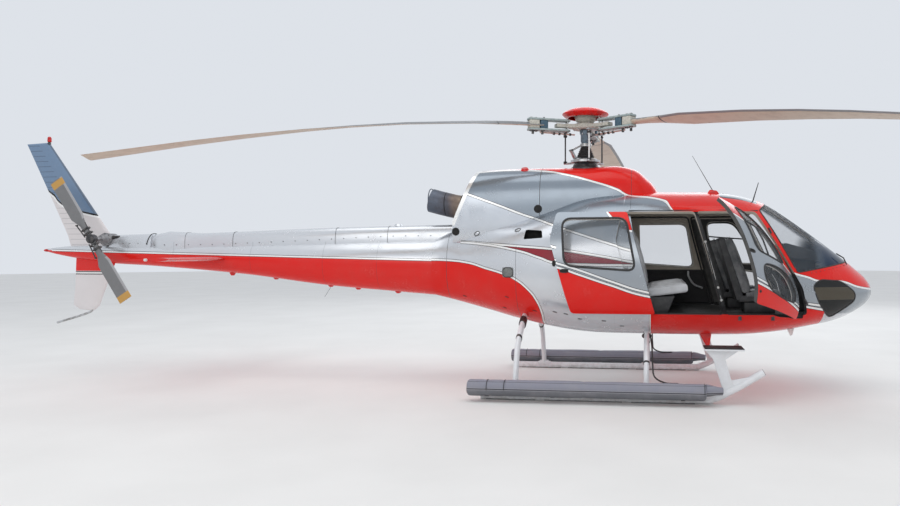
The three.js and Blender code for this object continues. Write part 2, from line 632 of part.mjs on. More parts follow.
function makeGear() {
  add('belly_front_tube', crossTube('front'), WHITE);
  add('body_rear_tube', crossTube('rear'), WHITE);
  twoSides(() => cut(skid(), crossTube('front', 3 * GAP), crossTube('rear', 3 * GAP)), 'skid', WHITE);
  const { y, z, radius, from, to } = FLOAT;
  const profile = [[from, 0], [from, radius * 0.8], [from + 40, radius], [to - 40, radius],
    [to, radius * 0.8], [to, 0]];
  twoSides(() => cut(turnedX(profile, [y, z], 14), bracketSpace()), 'float', GREY);
}

// The room that the skid's brackets take out of the float beside them
const bracketSpace = () => block([-1200, 1500], [SKID_Y - 60, FLOAT.y - 59], [30, 63]);

function makeBody() {
  const rear = hullSkin.intersect(block([HULL_TAIL_X - 10, BULKHEAD_X], [-FAR, FAR], [0, 3000]));
  add('rear_body', cut(rear, crossTube('rear', 3)), SILVER);
}

// Seats, each one cushion and back in a piece, and the panel in front of them
function makeInside() {
  const seat = (y, back) => {
    const low = FLOOR_Z + GAP;
    const profile = [[1780, 1075], [2270, 1130], [2270, 1210], [1945, 1190], [1725, 1792], [1600, 1800],
      [1565, 1760]];
    const pad = prismY(profile.map(([x, z]) => [x - back, z]), [y - 225, y + 225], 25);
    const plinth = block([1860 - back, 2220 - back], [y - 190, y + 190], [low, 1110]);
    return join(pad, plinth);
  };
  add('front_seat_left', seat(385, PORT_SEAT_BACK), BLACK);
  add('front_seat_right', seat(-385, 0), BLACK);
  const bench = prismY([[540, FLOOR_Z + GAP], [1040, FLOOR_Z + GAP], [1180, 1200], [1190, 1330], [745, 1240],
    [590, 1890], [480, 1890], [500, FLOOR_Z + GAP]], [-740, 740], 15);
  add('rear_bench', bench, FABRIC);
  const panel = prismY([[2330, 1735], [2700, 1640], [2740, 1180], [2700, FLOOR_Z + GAP],
    [2480, FLOOR_Z + GAP], [2480, 1300], [2380, 1560]], [-330, 330], 10);
  add('instrument_panel', panel.intersect(hull(-WALL - 5)), BLACK);
}

makeCabin();
makeDoors();
makeBody();
makeDeck();
makeTail();
makeRotor();
makeTailRotor();
makeGear();
makeInside();

export default helicopter;
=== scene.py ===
# %% [markdown]
# # A light helicopter on skids
# The machine stands parked with one front door open and one sliding door pushed aft. The packed
# solids are the fixed frame. Every piece below is fitted over one of them or hung on one of them.

# %% Load the frame
import json
from contextlib import contextmanager
from math import atan2, cos, hypot, pi, radians, sin

import bmesh
import bpy
import numpy as np
from mathutils import Matrix, Vector, noise

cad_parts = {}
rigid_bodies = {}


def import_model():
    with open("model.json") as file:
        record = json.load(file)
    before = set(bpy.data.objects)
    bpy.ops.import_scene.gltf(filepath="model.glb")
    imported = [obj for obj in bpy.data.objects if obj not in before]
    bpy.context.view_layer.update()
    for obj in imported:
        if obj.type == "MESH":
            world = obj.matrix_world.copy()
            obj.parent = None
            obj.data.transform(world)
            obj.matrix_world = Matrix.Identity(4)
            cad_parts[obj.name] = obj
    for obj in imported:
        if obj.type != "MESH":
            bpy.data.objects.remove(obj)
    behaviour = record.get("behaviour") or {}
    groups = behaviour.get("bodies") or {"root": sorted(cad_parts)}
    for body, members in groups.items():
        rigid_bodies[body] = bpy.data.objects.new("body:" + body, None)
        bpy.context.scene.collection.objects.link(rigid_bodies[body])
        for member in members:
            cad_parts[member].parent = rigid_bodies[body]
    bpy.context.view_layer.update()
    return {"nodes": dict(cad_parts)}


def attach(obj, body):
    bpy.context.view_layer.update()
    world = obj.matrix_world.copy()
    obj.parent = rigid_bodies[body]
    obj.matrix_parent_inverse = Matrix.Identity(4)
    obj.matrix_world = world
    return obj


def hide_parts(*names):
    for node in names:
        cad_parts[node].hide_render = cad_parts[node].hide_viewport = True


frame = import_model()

print("solids in the frame:", len(frame["nodes"]))

# %% [markdown]
# ## The camera
# The picture was taken from beside the machine, from a little under head height, and then cropped
# off its middle. A level camera with a sideways shift gives the same view. Turning the camera
# instead of shifting it would lean the uprights and change the doors' shapes.

# %% Camera
LENS_PIXELS = 720.9
PICTURE = (900, 506)
CENTRE = (565, 252)  # where the optical axis meets the picture, in its pixels
PAN = radians(6.9)

camera_data = bpy.data.cameras.new("camera")
camera_data.sensor_width = 36
camera_data.lens = LENS_PIXELS * camera_data.sensor_width / PICTURE[0]
camera_data.shift_x = (PICTURE[0] / 2 - CENTRE[0]) / PICTURE[0]
camera_data.shift_y = (CENTRE[1] - PICTURE[1] / 2) / PICTURE[0]
camera = bpy.data.objects.new("camera", camera_data)
camera.location = (0.8256, -8.9488, 1.6272)
camera.rotation_euler = (pi / 2, 0, PAN)
bpy.context.scene.collection.objects.link(camera)
bpy.context.scene.camera = camera
print("lens in mm:", round(camera_data.lens, 2))

# %% [markdown]
# ## Floor and light
# Glossy paint shows its surroundings more than its own colour. A pale floor, a pale sky and a few
# very large lamps give long soft highlights, where small lamps would give hard dots.

# %% Floor and lamps
SCENE = bpy.context.scene.collection


def hold(name, shape, materials=()):
    """Puts a bmesh into a new object at the origin."""
    mesh = bpy.data.meshes.new(name)
    shape.to_mesh(mesh)
    shape.free()
    piece = bpy.data.objects.new(name, mesh)
    SCENE.objects.link(piece)
    for material in materials:
        mesh.materials.append(material)
    return piece


def lamp(name, place, target, size, power, tint=(1, 1, 1)):
    data = bpy.data.lights.new(name, "AREA")
    data.shape, data.size, data.size_y = "RECTANGLE", *size
    data.energy, data.color = power, tint
    light = bpy.data.objects.new(name, data)
    light.location = place
    light.rotation_euler = (Vector(target) - Vector(place)).to_track_quat("-Z", "Y").to_euler()
    SCENE.objects.link(light)


lamp("sky_lamp", (-1, -3, 13), (-1, 0, 1), (16, 9), 560, (1.0, 0.98, 0.95))
lamp("side_lamp", (-3, -15, 6), (-1, 0, 1.2), (14, 5), 330, (1.0, 0.97, 0.93))
lamp("far_lamp", (2, 13, 8), (0, 0, 1.5), (14, 6), 450, (0.95, 0.97, 1.0))

world = bpy.data.worlds.new("pale_sky")
world.use_nodes = True
world.node_tree.nodes["Background"].inputs[0].default_value = (0.86, 0.9, 0.96, 1)
world.node_tree.nodes["Background"].inputs[1].default_value = 0.85
bpy.context.scene.world = world
bpy.context.scene.view_settings.view_transform = "Standard"

# %% [markdown]
# ## Writing materials as sums
# A material is a small sum about the surface: a colour here, a stripe there, a rougher patch where
# hands touch. One class wraps a value on its way through the material, so that plain Python sums
# add the nodes. Placing the nodes by hand would hide the sum behind hundreds of lines.


# %% Signals and finishes
def math_node(operation, swapped=False):
    """A method that puts a signal, and what it is combined with, through a Math node."""
    def method(self, *others):
        inputs = (*others, self) if swapped else (self, *others)
        return self.finish.node("ShaderNodeMath", {"operation": operation}, inputs)

    return method


class Signal:
    """A value in a material. Sums on it add Math nodes."""

    def __init__(self, finish, socket):
        self.finish, self.socket = finish, socket

    __add__ = __radd__ = math_node("ADD")
    __mul__ = __rmul__ = math_node("MULTIPLY")
    __sub__, __rsub__ = math_node("SUBTRACT"), math_node("SUBTRACT", swapped=True)
    __truediv__, __abs__ = math_node("DIVIDE"), math_node("ABSOLUTE")
    __gt__, __lt__ = math_node("GREATER_THAN"), math_node("LESS_THAN")
    highest, lowest = math_node("MAXIMUM"), math_node("MINIMUM")
    root, fraction = math_node("SQRT"), math_node("FRACT")

    def part(self, step):
        """How far the value is through its present step, from 0 to 1."""
        return (self / step).fraction()

    def rise(self, low, high):
        """0 below low, 1 above high, smooth between."""
        settings = {"interpolation_type": "SMOOTHSTEP"}
        return self.finish.node("ShaderNodeMapRange", settings, [self, low, high, 0.0, 1.0])


class Finish:
    """A material and what its surface is told."""

    def __init__(self, name, color=(0.5, 0.5, 0.5), roughness=0.5, metallic=0.0, **more):
        self.material = bpy.data.materials.new(name)
        self.material.use_nodes = True
        self.tree = self.material.node_tree
        self.shader = self.tree.nodes["Principled BSDF"]
        plain = {"Base Color": (*color, 1), "Roughness": roughness, "Metallic": metallic}
        plain.update({key.replace("_", " ").title(): value for key, value in more.items()})
        for key, value in plain.items():
            self.shader.inputs[key.replace("Ior", "IOR")].default_value = value
        self.material.diffuse_color = (*color, 1)

    def node(self, kind, settings=None, inputs=(), output=0):
        made = self.tree.nodes.new(kind)
        for key, value in (settings or {}).items():
            if key == "stops":
                for stop, (place, color) in zip(self.stops(made, len(value)), value):
                    stop.position, stop.color = place, (*color, 1)
            elif key == "points":
                self.points(made, value)
            else:
                setattr(made, key, value)
        pairs = inputs.items() if isinstance(inputs, dict) else enumerate(inputs)
        for key, value in pairs:
            if isinstance(value, Signal):
                self.tree.links.new(value.socket, made.inputs[key])
            elif value is not None:
                made.inputs[key].default_value = value
        return Signal(self, made.outputs[output])

    @staticmethod
    def stops(made, count):
        ramp = made.color_ramp
        while len(ramp.elements) < count:
            ramp.elements.new(0.5)
        return ramp.elements

    @staticmethod
    def points(made, places):
        line = made.mapping.curves[0]
        for place in places[1:-1]:
            line.points.new(*place)
        line.points[0].location, line.points[-1].location = places[0], places[-1]
        made.mapping.update()

    def mix(self, mask, below, above):
        settings = {"data_type": "RGBA"}
        tones = [tone if isinstance(tone, Signal) else (*tone, 1) for tone in (below, above)]
        return self.node("ShaderNodeMix", settings, {0: mask, 6: tones[0], 7: tones[1]}, 2)

    def layers(self, tone, *fields):
        """Fields of (mask, colour), laid over a tone in turn."""
        for mask, above in fields:
            tone = self.mix(mask, tone, above)
        return tone

    def place(self, attribute=None):
        """X, Y and Z of the surface: of the object, or as one of its attributes keeps them."""
        if attribute:
            where = self.node("ShaderNodeAttribute", {"attribute_name": attribute}, (), 1)
        else:
            where = self.node("ShaderNodeTexCoord", None, (), 3)
        split = [self.node("ShaderNodeSeparateXYZ", None, [where], axis) for axis in range(3)]
        return where, *split

    def noise(self, where, scale, detail=2.0, rough=0.5):
        return self.node("ShaderNodeTexNoise", None, {"Vector": where, "Scale": scale,
                                                      "Detail": detail, "Roughness": rough})

    def set(self, **sockets):
        for key, value in sockets.items():
            key = key.replace("_", " ").title()
            self.tree.links.new(value.socket, self.shader.inputs[key])
        return self

    def bump(self, height, depth=0.001, strength=1.0):
        lift = self.node("ShaderNodeBump", None, {"Strength": strength, "Distance": depth,
                                                  "Height": height})
        return self.set(normal=lift)


def worn(name, low, high, scale=20, roughness=(0.3, 0.4), metallic=0.0, grain=None, **sockets):
    """A plain surface in use: two tones that wander, shinier in places, with a fine grain."""
    made = Finish(name, low, roughness[0], metallic, **sockets)
    where, *_ = made.place()
    wander = made.noise(where, scale, 5, 0.62)
    made.set(base_color=made.mix(wander.rise(0.35, 0.8), low, high),
             roughness=wander * roughness[1] + roughness[0])
    made.bump(made.noise(where, grain or scale * 8, 3), 0.0006, 0.35)
    return made.material


ground = Finish("pale_floor", (0.8, 0.79, 0.77), 0.85)
where, *_ = ground.place()
patches = ground.noise(where, 0.8, 4.0)
ground.set(base_color=ground.mix(patches, (0.72, 0.71, 0.69), (0.83, 0.82, 0.8)))
ground.bump(ground.noise(where, 60, 3.0), 0.002, 0.3)

shape = bmesh.new()
bmesh.ops.create_circle(shape, cap_ends=True, segments=96, radius=60)
floor = hold("floor", shape, [ground.material])
print("floor and lamps are in place")

# %% [markdown]
# ## Skins
# The body is a moulded and riveted shell whose sections are squared ovals. A row of such sections,
# carried smoothly from one station to the next, gives the skin. The alternative, pushing the
# points of a block about by eye, can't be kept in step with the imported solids.

# %% Sections and skins
# Columns: x, bottom, top, half width, height of the widest place, squareness low and high
HULL = [
    (3.374, 1.150, 1.200, 0.045, 1.172, 2.0, 2.0),
    (3.366, 1.120, 1.225, 0.110, 1.172, 2.0, 2.0),
    (3.340, 1.055, 1.285, 0.230, 1.170, 2.0, 2.0),
    (3.280, 1.000, 1.355, 0.360, 1.170, 2.0, 2.0),
    (3.190, 0.945, 1.432, 0.480, 1.165, 2.1, 2.0),
    (3.080, 0.885, 1.525, 0.580, 1.170, 2.2, 2.0),
    (2.900, 0.815, 1.672, 0.685, 1.180, 2.3, 2.0),
    (2.650, 0.760, 1.860, 0.775, 1.210, 2.4, 2.1),
    (2.400, 0.710, 2.040, 0.835, 1.250, 2.5, 2.2),
    (2.150, 0.672, 2.200, 0.880, 1.290, 2.5, 2.3),
    (1.900, 0.650, 2.290, 0.910, 1.320, 2.5, 2.4),
    (1.600, 0.642, 2.335, 0.928, 1.340, 2.5, 2.5),
    (1.200, 0.638, 2.345, 0.935, 1.350, 2.5, 2.6),
    (0.600, 0.642, 2.345, 0.934, 1.350, 2.5, 2.6),
    (0.000, 0.660, 2.300, 0.900, 1.360, 2.5, 2.5),
    (-0.400, 0.715, 2.180, 0.820, 1.380, 2.4, 2.4),
    (-0.800, 0.800, 2.080, 0.700, 1.410, 2.3, 2.3),
    (-1.200, 0.905, 2.010, 0.540, 1.440, 2.2, 2.3),
    (-1.600, 1.010, 1.930, 0.380, 1.445, 2.2, 2.2),
    (-1.900, 1.080, 1.810, 0.265, 1.440, 2.1, 2.1),
]


def closed_up(shape):
    """Joins the seams of a shape, fills its ends and turns its faces outwards."""
    bmesh.ops.remove_doubles(shape, verts=shape.verts, dist=1e-5)
    bmesh.ops.holes_fill(shape, edges=[e for e in shape.edges if e.is_boundary], sides=0)
    bmesh.ops.recalc_face_normals(shape, faces=shape.faces)
    return shape


class Skin:
    """A row of squared ovals along X, as a surface that can be meshed or asked its slope."""

    def __init__(self, table, sides, step=0.045):
        self.table = np.array(sorted(table))
        self.sides = sides
        x = self.table[:, 0]
        counts = [max(1, round((b - a) / step)) for a, b in zip(x, x[1:])]
        self.stations = np.concatenate(
            [np.linspace(a, b, n, endpoint=False) for a, b, n in zip(x, x[1:], counts)] + [x[-1:]])

    def row(self, x):
        """The section at x, carried smoothly between the stations of the table."""
        known = self.table[:, 0]
        x = np.clip(np.asarray(x, float), known[0], known[-1])
        i = np.clip(np.searchsorted(known, x) - 1, 0, len(known) - 2)
        span = known[i + 1] - known[i]
        t = ((x - known[i]) / span)[..., None]
        slope = np.gradient(self.table[:, 1:], known, axis=0)
        a, b = self.table[i, 1:], self.table[i + 1, 1:]
        u, v = slope[i] * span[..., None], slope[i + 1] * span[..., None]
        return (a * (2 * t**3 - 3 * t**2 + 1) + b * (3 * t**2 - 2 * t**3)
                + u * (t**3 - 2 * t**2 + t) + v * (t**3 - t**2))

    def point(self, x, angle, out=0.0):
        """The place on the skin at x, at an angle from the widest line to port, pushed out."""
        low, high, half, middle, square_low, square_high = self.row(x)
        c, s = cos(angle), sin(angle)
        power = 2 / (square_high if s > 0 else square_low)
        reach = (high - middle if s > 0 else middle - low) + out
        return Vector((x, np.sign(c) * abs(c) ** power * (half + out),
                       middle + np.sign(s) * abs(s) ** power * reach))

    def level(self, p):
        """Below 1 inside the skin, above 1 outside."""
        low, high, half, middle, square_low, square_high = self.row(p[:, 0]).T
        lift = p[:, 2] - middle
        reach = np.where(lift > 0, high - middle, middle - low)
        power = np.where(lift > 0, square_high, square_low)
        return np.abs(p[:, 1] / half) ** power + np.abs(lift / reach) ** power

    def slope(self, p):
        """The outward direction at each place."""
        parts = []
        for axis in range(3):
            step = np.zeros(3)
            step[axis] = 0.004 if axis == 0 else 0.001
            parts.append((self.level(p + step) - self.level(p - step)) / (2 * step[axis]))
        out = np.stack(parts, 1)
        return out / np.maximum(np.linalg.norm(out, axis=1, keepdims=True), 1e-9)

    def half_at(self, x, z):
        """Half the body's width at x and z."""
        low, high, half, middle, square_low, square_high = self.row(x)
        lift = z - middle
        reach, power = (high - middle, square_high) if lift > 0 else (low - middle, square_low)
        return half * max(0.0, 1 - (lift / reach) ** power) ** (1 / power)

    def mesh(self, materials=()):
        """The closed skin: a grid rolled round the machine, its seam joined and its ends filled."""
        shape = bmesh.new()
        rows = len(self.stations) - 1
        bmesh.ops.create_grid(shape, x_segments=rows, y_segments=self.sides, size=0.5)
        for vert in shape.verts:
            i, j = round((vert.co.x + 0.5) * rows), round((vert.co.y + 0.5) * self.sides)
            vert.co = self.point(self.stations[i], j / self.sides * 2 * pi)
        return hold("skin", closed_up(shape), materials)


hull = Skin(HULL, 96)
print("hull stations:", len(hull.stations))

# %% [markdown]
# ## Panels out of a skin
# Real panels are parts of one smooth shell, with gaps between. So each panel is cut out of the whole
# skin by prisms with the panel's outline, and only then given its wall. Each cut edge then follows
# the curve of the body, and neighbours stay in line. The prisms' own faces carry the second
# material, so that they can be told from the skin after the cut and taken away.

# %% Outlines, prisms and cut panels
inner = Finish("lining", (0.2, 0.195, 0.185), 0.8)
where, *_, z = inner.place("home")
patchy = inner.noise(where, 9, 3)
light = inner.mix(patchy, (0.46, 0.41, 0.35), (0.54, 0.49, 0.42))
dark = inner.mix(patchy, (0.016, 0.016, 0.018), (0.03, 0.03, 0.032))
inner.set(base_color=inner.mix(z.rise(1.38, 1.4), dark, light))
inner.bump(inner.noise(where, 900, 2), 0.0008, 0.5)
FAR = 1.6
LESS_SLOPE, BLEND_FROM, BLEND_LENGTH = 0.85, -1.45, 0.45


def rounded(corners, radius, grow=0.0, steps=6):
    """A closed outline whose corners are pushed out by grow and then rounded."""
    points = [Vector(c) for c in corners]
    count = len(points)
    turning = sum(a.cross(b) for a, b in zip(points, points[1:] + points[:1]))
    side = 1 if turning > 0 else -1
    grown = []
    for i, corner in enumerate(points):
        a = (corner - points[i - 1]).normalized()
        b = (points[(i + 1) % count] - corner).normalized()
        normal = Vector((a.y + b.y, -a.x - b.x)) * side
        grown.append(corner + normal * grow / (1 + a.dot(b)))
    if not radius:
        return grown
    line = []
    for i, corner in enumerate(grown):
        ends = []
        for other in (grown[i - 1], grown[(i + 1) % count]):
            reach = min(radius, 0.45 * (other - corner).length)
            ends.append(corner + (other - corner).normalized() * reach)
        for t in np.linspace(0, 1, steps):
            line.append(ends[0] * (1 - t) ** 2 + corner * 2 * t * (1 - t) + ends[1] * t**2)
    return line


def prism(line, span=(-FAR, FAR), axis="Y", material=1):
    """A solid with that outline: in X and Z, running across, or in X and Y, standing up."""
    shape = bmesh.new()
    start, end = span
    lift = Vector((0, end - start, 0)) if axis == "Y" else Vector((0, 0, end - start))
    verts = [shape.verts.new((p[0], start, p[1]) if axis == "Y" else (p[0], p[1], start)) for p in line]
    face = shape.faces.new(verts)
    grown = bmesh.ops.extrude_face_region(shape, geom=[face])["geom"]
    bmesh.ops.translate(shape, vec=lift, verts=[g for g in grown if isinstance(g, bmesh.types.BMVert)])
    bmesh.ops.recalc_face_normals(shape, faces=shape.faces)
    for face in shape.faces:
        face.material_index = material
    return hold("cutter", shape, CUT_MATERIALS)


def oblong(x, y):
    """A rectangle's corners, from its two ranges."""
    return [(x[0], y[0]), (x[1], y[0]), (x[1], y[1]), (x[0], y[1])]


def block(x, y, z):
    return prism(oblong(x, y), z, "Z")


CUT_MATERIALS = [bpy.data.materials.new(word) for word in ("kept_side", "cut_side", "recess_side")]
whole_hull = hull.mesh(CUT_MATERIALS)
BENCH = [whole_hull]  # whole skins that panels are cut from, cleared away at the end


def settle(piece, materials=None):
    """Applies the modifiers, so that the mesh itself has the shape."""
    graph = bpy.context.evaluated_depsgraph_get()
    done = bpy.data.meshes.new_from_object(piece.evaluated_get(graph))
    piece.modifiers.clear()
    piece.data = done
    for i, material in enumerate(materials or []):
        if i < len(done.materials):
            done.materials[i] = material
        else:
            done.materials.append(material)
    return piece


def carved(whole, cuts):
    """A copy of a closed skin, cut by each (operation, cutter) in turn."""
    piece = whole.copy()
    piece.data = whole.data.copy()
    SCENE.objects.link(piece)
    for operation, cutter in cuts:
        step = piece.modifiers.new("cut", "BOOLEAN")
        step.operation, step.object, step.solver = operation, cutter, "EXACT"
    settle(piece)
    for _, cutter in cuts:
        if cutter.name.startswith("cutter") and cutter.users_collection:
            bpy.data.objects.remove(cutter)
    return piece


@contextmanager
def edited(piece):
    """A piece's mesh as a bmesh, put back when the work on it is done."""
    shape = bmesh.new()
    shape.from_mesh(piece.data)
    yield shape
    shape.to_mesh(piece.data)
    shape.free()


def drop_cut_faces(piece):
    with edited(piece) as shape:
        cut = [f for f in shape.faces if f.material_index == 1]
        bmesh.ops.delete(shape, geom=cut, context="FACES")
        bmesh.ops.remove_doubles(shape, verts=shape.verts, dist=2e-4)


def walled(piece, thick, materials, inside=1):
    """Gives a sheet its wall, inwards. The inner face takes the second material."""
    wall = piece.modifiers.new("wall", "SOLIDIFY")
    wall.thickness, wall.offset, wall.use_even_offset = thick, -1, True
    wall.use_quality_normals = True
    wall.material_offset = inside
    wall.material_offset_rim = inside
    piece.data.materials.clear()
    for material in materials:
        piece.data.materials.append(material)
    return settle(piece)


def shade_as(piece, skin, limit=0.75):
    """Smooth faces that lie along the skin take the skin's own slope, so that highlights run clean."""
    mesh = piece.data
    count = len(mesh.vertices)
    places = np.zeros(count * 3)
    mesh.vertices.foreach_get("co", places)
    slopes = skin.slope(places.reshape(-1, 3))
    if skin is hull:
        # the body's shading runs on into the boom's without a crease
        slopes[:, 0] *= 1 - LESS_SLOPE * np.clip((BLEND_FROM - places[0::3]) / BLEND_LENGTH, 0, 1)
    normals = np.zeros((len(mesh.loops), 3))
    for face in mesh.polygons:
        face.use_smooth = True
        own = np.array(face.normal)
        for loop in face.loop_indices:
            out = slopes[mesh.loops[loop].vertex_index]
            along = out @ own
            normals[loop] = out * np.sign(along) if abs(along) > limit else own
    mesh.normals_split_custom_set(normals.tolist())
    return piece


def keep_home(piece):
    """Keeps where each point is while everything is closed, which is where the paint was laid out."""
    places = np.zeros(len(piece.data.vertices) * 3, np.float32)
    piece.data.vertices.foreach_get("co", places)
    home = piece.data.attributes.new("home", "FLOAT_VECTOR", "POINT")
    home.data.foreach_set("vector", places)
    return piece


def finished(piece, name, stands_for=None, body="airframe"):
    """Names a piece, hangs it on the body it rides on, and hides the solid it stands for."""
    piece.name = piece.data.name = name
    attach(piece, body)
    if stands_for:
        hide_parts(stands_for)
    return piece


print("tools for panels are ready")

# %% [markdown]
# ## The paint scheme
# The scheme is masked and sprayed in one go over the closed machine: red over the roof and the
# nose, metallic grey on the doors, silver aft, red again under the boom, with white lines and thin
# black edges between. So the paint is one material too. It reads where each point is with all
# doors closed, and the lines then meet across every gap. Separate meshes for the stripes would
# float over the curved skin.

# %% Drawn lines
RED, GREY, SILVER = (0.72, 0.01, 0.006), (0.34, 0.37, 0.4), (0.66, 0.68, 0.71)
WHITE, BLACK, MAROON = (0.86, 0.86, 0.85), (0.015, 0.016, 0.018), (0.27, 0.022, 0.035)

# Each line as places (x, z), from tail to nose
SWEEP = [(-1.7, 2.59), (-1.32, 2.612), (-0.95, 2.628), (-0.49, 2.608), (-0.17, 2.55), (0.11, 2.47),
         (0.4, 2.375), (0.58, 2.285), (0.78, 2.262), (0.96, 2.215), (1.03, 2.125), (1.11, 2.015),
         (1.29, 1.865), (1.42, 1.848), (1.52, 1.825), (1.75, 1.77), (1.9, 1.93), (2.05, 2.3)]
HOOD_LINE = [(-1.75, 2.46), (-1.4, 2.33), (-0.99, 2.18), (-0.68, 2.064), (-0.54, 2.02), (-0.32, 1.94),
             (0.1, 1.8), (0.55, 1.66)]
SLIVER_TOP = [(-1.6, 1.752), (-1.37, 1.748), (-1.22, 1.735), (-0.73, 1.697), (-0.3, 1.661),
              (0.1, 1.605), (0.5, 1.535)]
SLIVER_FOOT = [(-1.6, 1.748), (-1.3, 1.73), (-0.72, 1.639), (-0.45, 1.559), (-0.235, 1.5),
               (0.1, 1.485), (0.5, 1.48)]
DOOR_TOP_LINE = [(0.41, 1.53), (0.5, 1.505), (0.77, 1.423), (1.1, 1.308), (1.53, 1.18), (1.74, 1.152),
                 (2.45, 1.068), (2.72, 1.03)]
DOOR_FOOT_LINE = [(0.41, 1.48), (0.54, 1.45), (0.77, 1.373), (1.1, 1.264), (1.53, 1.137), (1.74, 1.114),
                  (2.45, 1.033), (2.72, 0.985)]
NOSE_LINE = [(1.9, 1.62), (2.2, 1.46), (2.38, 1.387), (2.52, 1.348), (2.64, 1.309), (2.9, 1.3),
             (3.12, 1.235), (3.37, 1.195)]
CHIN_BACK = 2.72  # the lines and the lower red end at the chin windows
CURVE_AFT = [(-2.1, 1.527), (-1.7, 1.529), (-1.42, 1.506), (-1.13, 1.433), (-0.94, 1.384), (-0.85, 1.352)]
CURVE_DOWN = [(0.6, -0.455), (0.774, -0.455), (0.93, -0.453), (1.085, -0.51), (1.216, -0.62),
              (1.325, -0.78), (1.384, -0.94), (1.42, -1.06)]  # these as (z, x), where it drops


def drawn(paint, run, rise, places):
    """How far the surface is above a drawn line, in metres, measured square to the line."""
    (start, *_), (end, *_) = places[0], places[-1]
    values = [value for _, value in places]
    low, span = min(values), max(max(values) - min(values), 0.01)
    points = [((at - start) / (end - start), (value - low) / span) for at, value in places]
    step = 0.01

    def height(shift):
        share = (run - start) / (end - start) + shift
        curve = paint.node("ShaderNodeFloatCurve", {"points": points}, [1.0, share])
        return curve * span + low

    line = height(0)
    slope = (height(step) - line) / (step * (end - start))
    return (rise - line) / (slope * slope + 1).root()


def stripe(paint, tone, gap, mask, half=0.0115, edge=0.0055):
    """A white line with a thin black edge on each side."""
    far = abs(gap)
    tone = paint.mix((far < half + edge) * mask, tone, BLACK)
    return paint.mix((far < half) * mask, tone, WHITE)


def within(signal, low, high):
    return (signal > low) * (signal < high)


def any_of(mask, *others):
    """1 where any of the masks is 1."""
    for other in others:
        mask = mask.highest(other)
    return mask


print("corners in the longest line:", len(SWEEP))

# %% [markdown]
# The layers go on as a painter masks them: ground colour first, then each field, then the lines
# over the edges of the fields. Metallic paint has flakes under a clear coat, so the grey and the
# silver are partly metallic and the red isn't, and the clear coat lies over all of them.

# %% Body paint


def coated(paint, tone, shine, where):
    """What all the painted skin shares: the coat, faint waviness, and dust that settles on top."""
    dust = paint.noise(where, 3.5, 5.0, 0.6).rise(0.35, 0.8)
    spots = paint.noise(where, 45, 3.0, 0.6).rise(0.55, 0.75)
    tone = paint.layers(tone, (dust * 0.06, (0.3, 0.26, 0.22)), (spots * dust * 0.05, (0.25, 0.22, 0.2)))
    paint.set(base_color=tone, metallic=shine, roughness=dust * 0.1 + spots * 0.04 + 0.2)
    paint.bump(paint.noise(where, 7.0, 2.0), 0.004, 0.16)


def make_body_paint(name="body_paint", doors=1.0, reach=0.5):
    """The scheme. Without doors it is the skin behind them, where the body's lines run on to reach."""
    paint = Finish(name, SILVER, 0.25, coat_weight=0.14, coat_roughness=0.1, specular_ior_level=0.22)
    where, x, y, z = paint.place("home")
    sweep, hood_line, door_top, door_foot, sliver_top, sliver_foot, nose_line, aft = (
        drawn(paint, x, z, line) for line in (SWEEP, HOOD_LINE, DOOR_TOP_LINE, DOOR_FOOT_LINE,
                                              SLIVER_TOP, SLIVER_FOOT, NOSE_LINE, CURVE_AFT))
    low_aft = x < -0.94
    curve = aft * low_aft + drawn(paint, z, x, CURVE_DOWN) * (1 - low_aft)

    # the sliding door's rear edge leans two ways
    on_doors = (x + z * 0.2852 > 0.922) * (x - z * 0.1875 > 0.095) * (z > 0.936) * doors
    grey = ((hood_line > 0) * (x < reach)).highest(on_doors)
    on_side = within(x, 0.4, CHIN_BACK)
    red = any_of((sweep > 0) * (x < 2.0), (nose_line > 0) * (x > 1.98),
                 (door_foot < 0) * on_side * ((x > 0.8).highest(on_doors)), (curve < 0) * (x < -0.4))
    maroon = (sliver_top < 0) * (sliver_foot > 0) * within(x, -1.55, reach)

    # both greys are painted a little bluer and deeper on the shoulders than low down: a painted reflection of
    # the sky
    painted_sky_on_shoulders = z.rise(1.55, 2.25) * 0.45
    silver = paint.mix(painted_sky_on_shoulders, SILVER, (0.4, 0.46, 0.54))
    tone = paint.layers(silver, (grey, paint.mix(painted_sky_on_shoulders, GREY, (0.17, 0.225, 0.29))), (red, RED),
                        (maroon, MAROON))
    for line, mask, *widths in (
            (hood_line, within(x, -1.8, reach)), (sliver_top, within(x, -1.5, reach)),
            (sliver_foot, within(x, -1.5, reach)), (sweep, within(x, -1.7, 1.74), 0.0115, 0.003),
            (nose_line, x > 2.1, 0.0105, 0.003), (door_top, on_side * on_doors, 0.011, 0.006),
            (door_foot, on_side * on_doors, 0.011, 0.006), (curve, (x < -0.4) * (z > 0.6)),
            (x - 0.8, within(z, 0.6, 0.936), 0.008, 0.002)):
        tone = stripe(paint, tone, line, mask, *widths)
    joints = any_of((abs(x + 0.75) < 0.002) * (z < 1.7), (abs(x - 0.58) < 0.002) * (z > 2.12),
                    (abs(x + 1.68) < 0.0025) * (z < 1.86))
    post = (x < 1.907 - z * 0.2753) * (x > 1.851 - z * 0.2727) * within(z, 0.936, 2.08)
    middle = (abs(y) < 0.034) * (z > 1.5) * within(x, 2.24, 3.14)
    bevel = (x * 0.919 - z * 0.394 < -2.213) * (z > 1.95)
    tone = paint.layers(tone, (joints, (0.06, 0.06, 0.065)), (post.highest(middle), BLACK), (bevel, WHITE))
    coated(paint, tone, (1 - any_of(red, maroon, post)) * 0.62, where)
    return paint.material


body_paint = make_body_paint()
jamb_paint = make_body_paint("jamb_paint", 0.0, 0.78)
print("nodes in the body paint:", len(body_paint.node_tree.nodes))
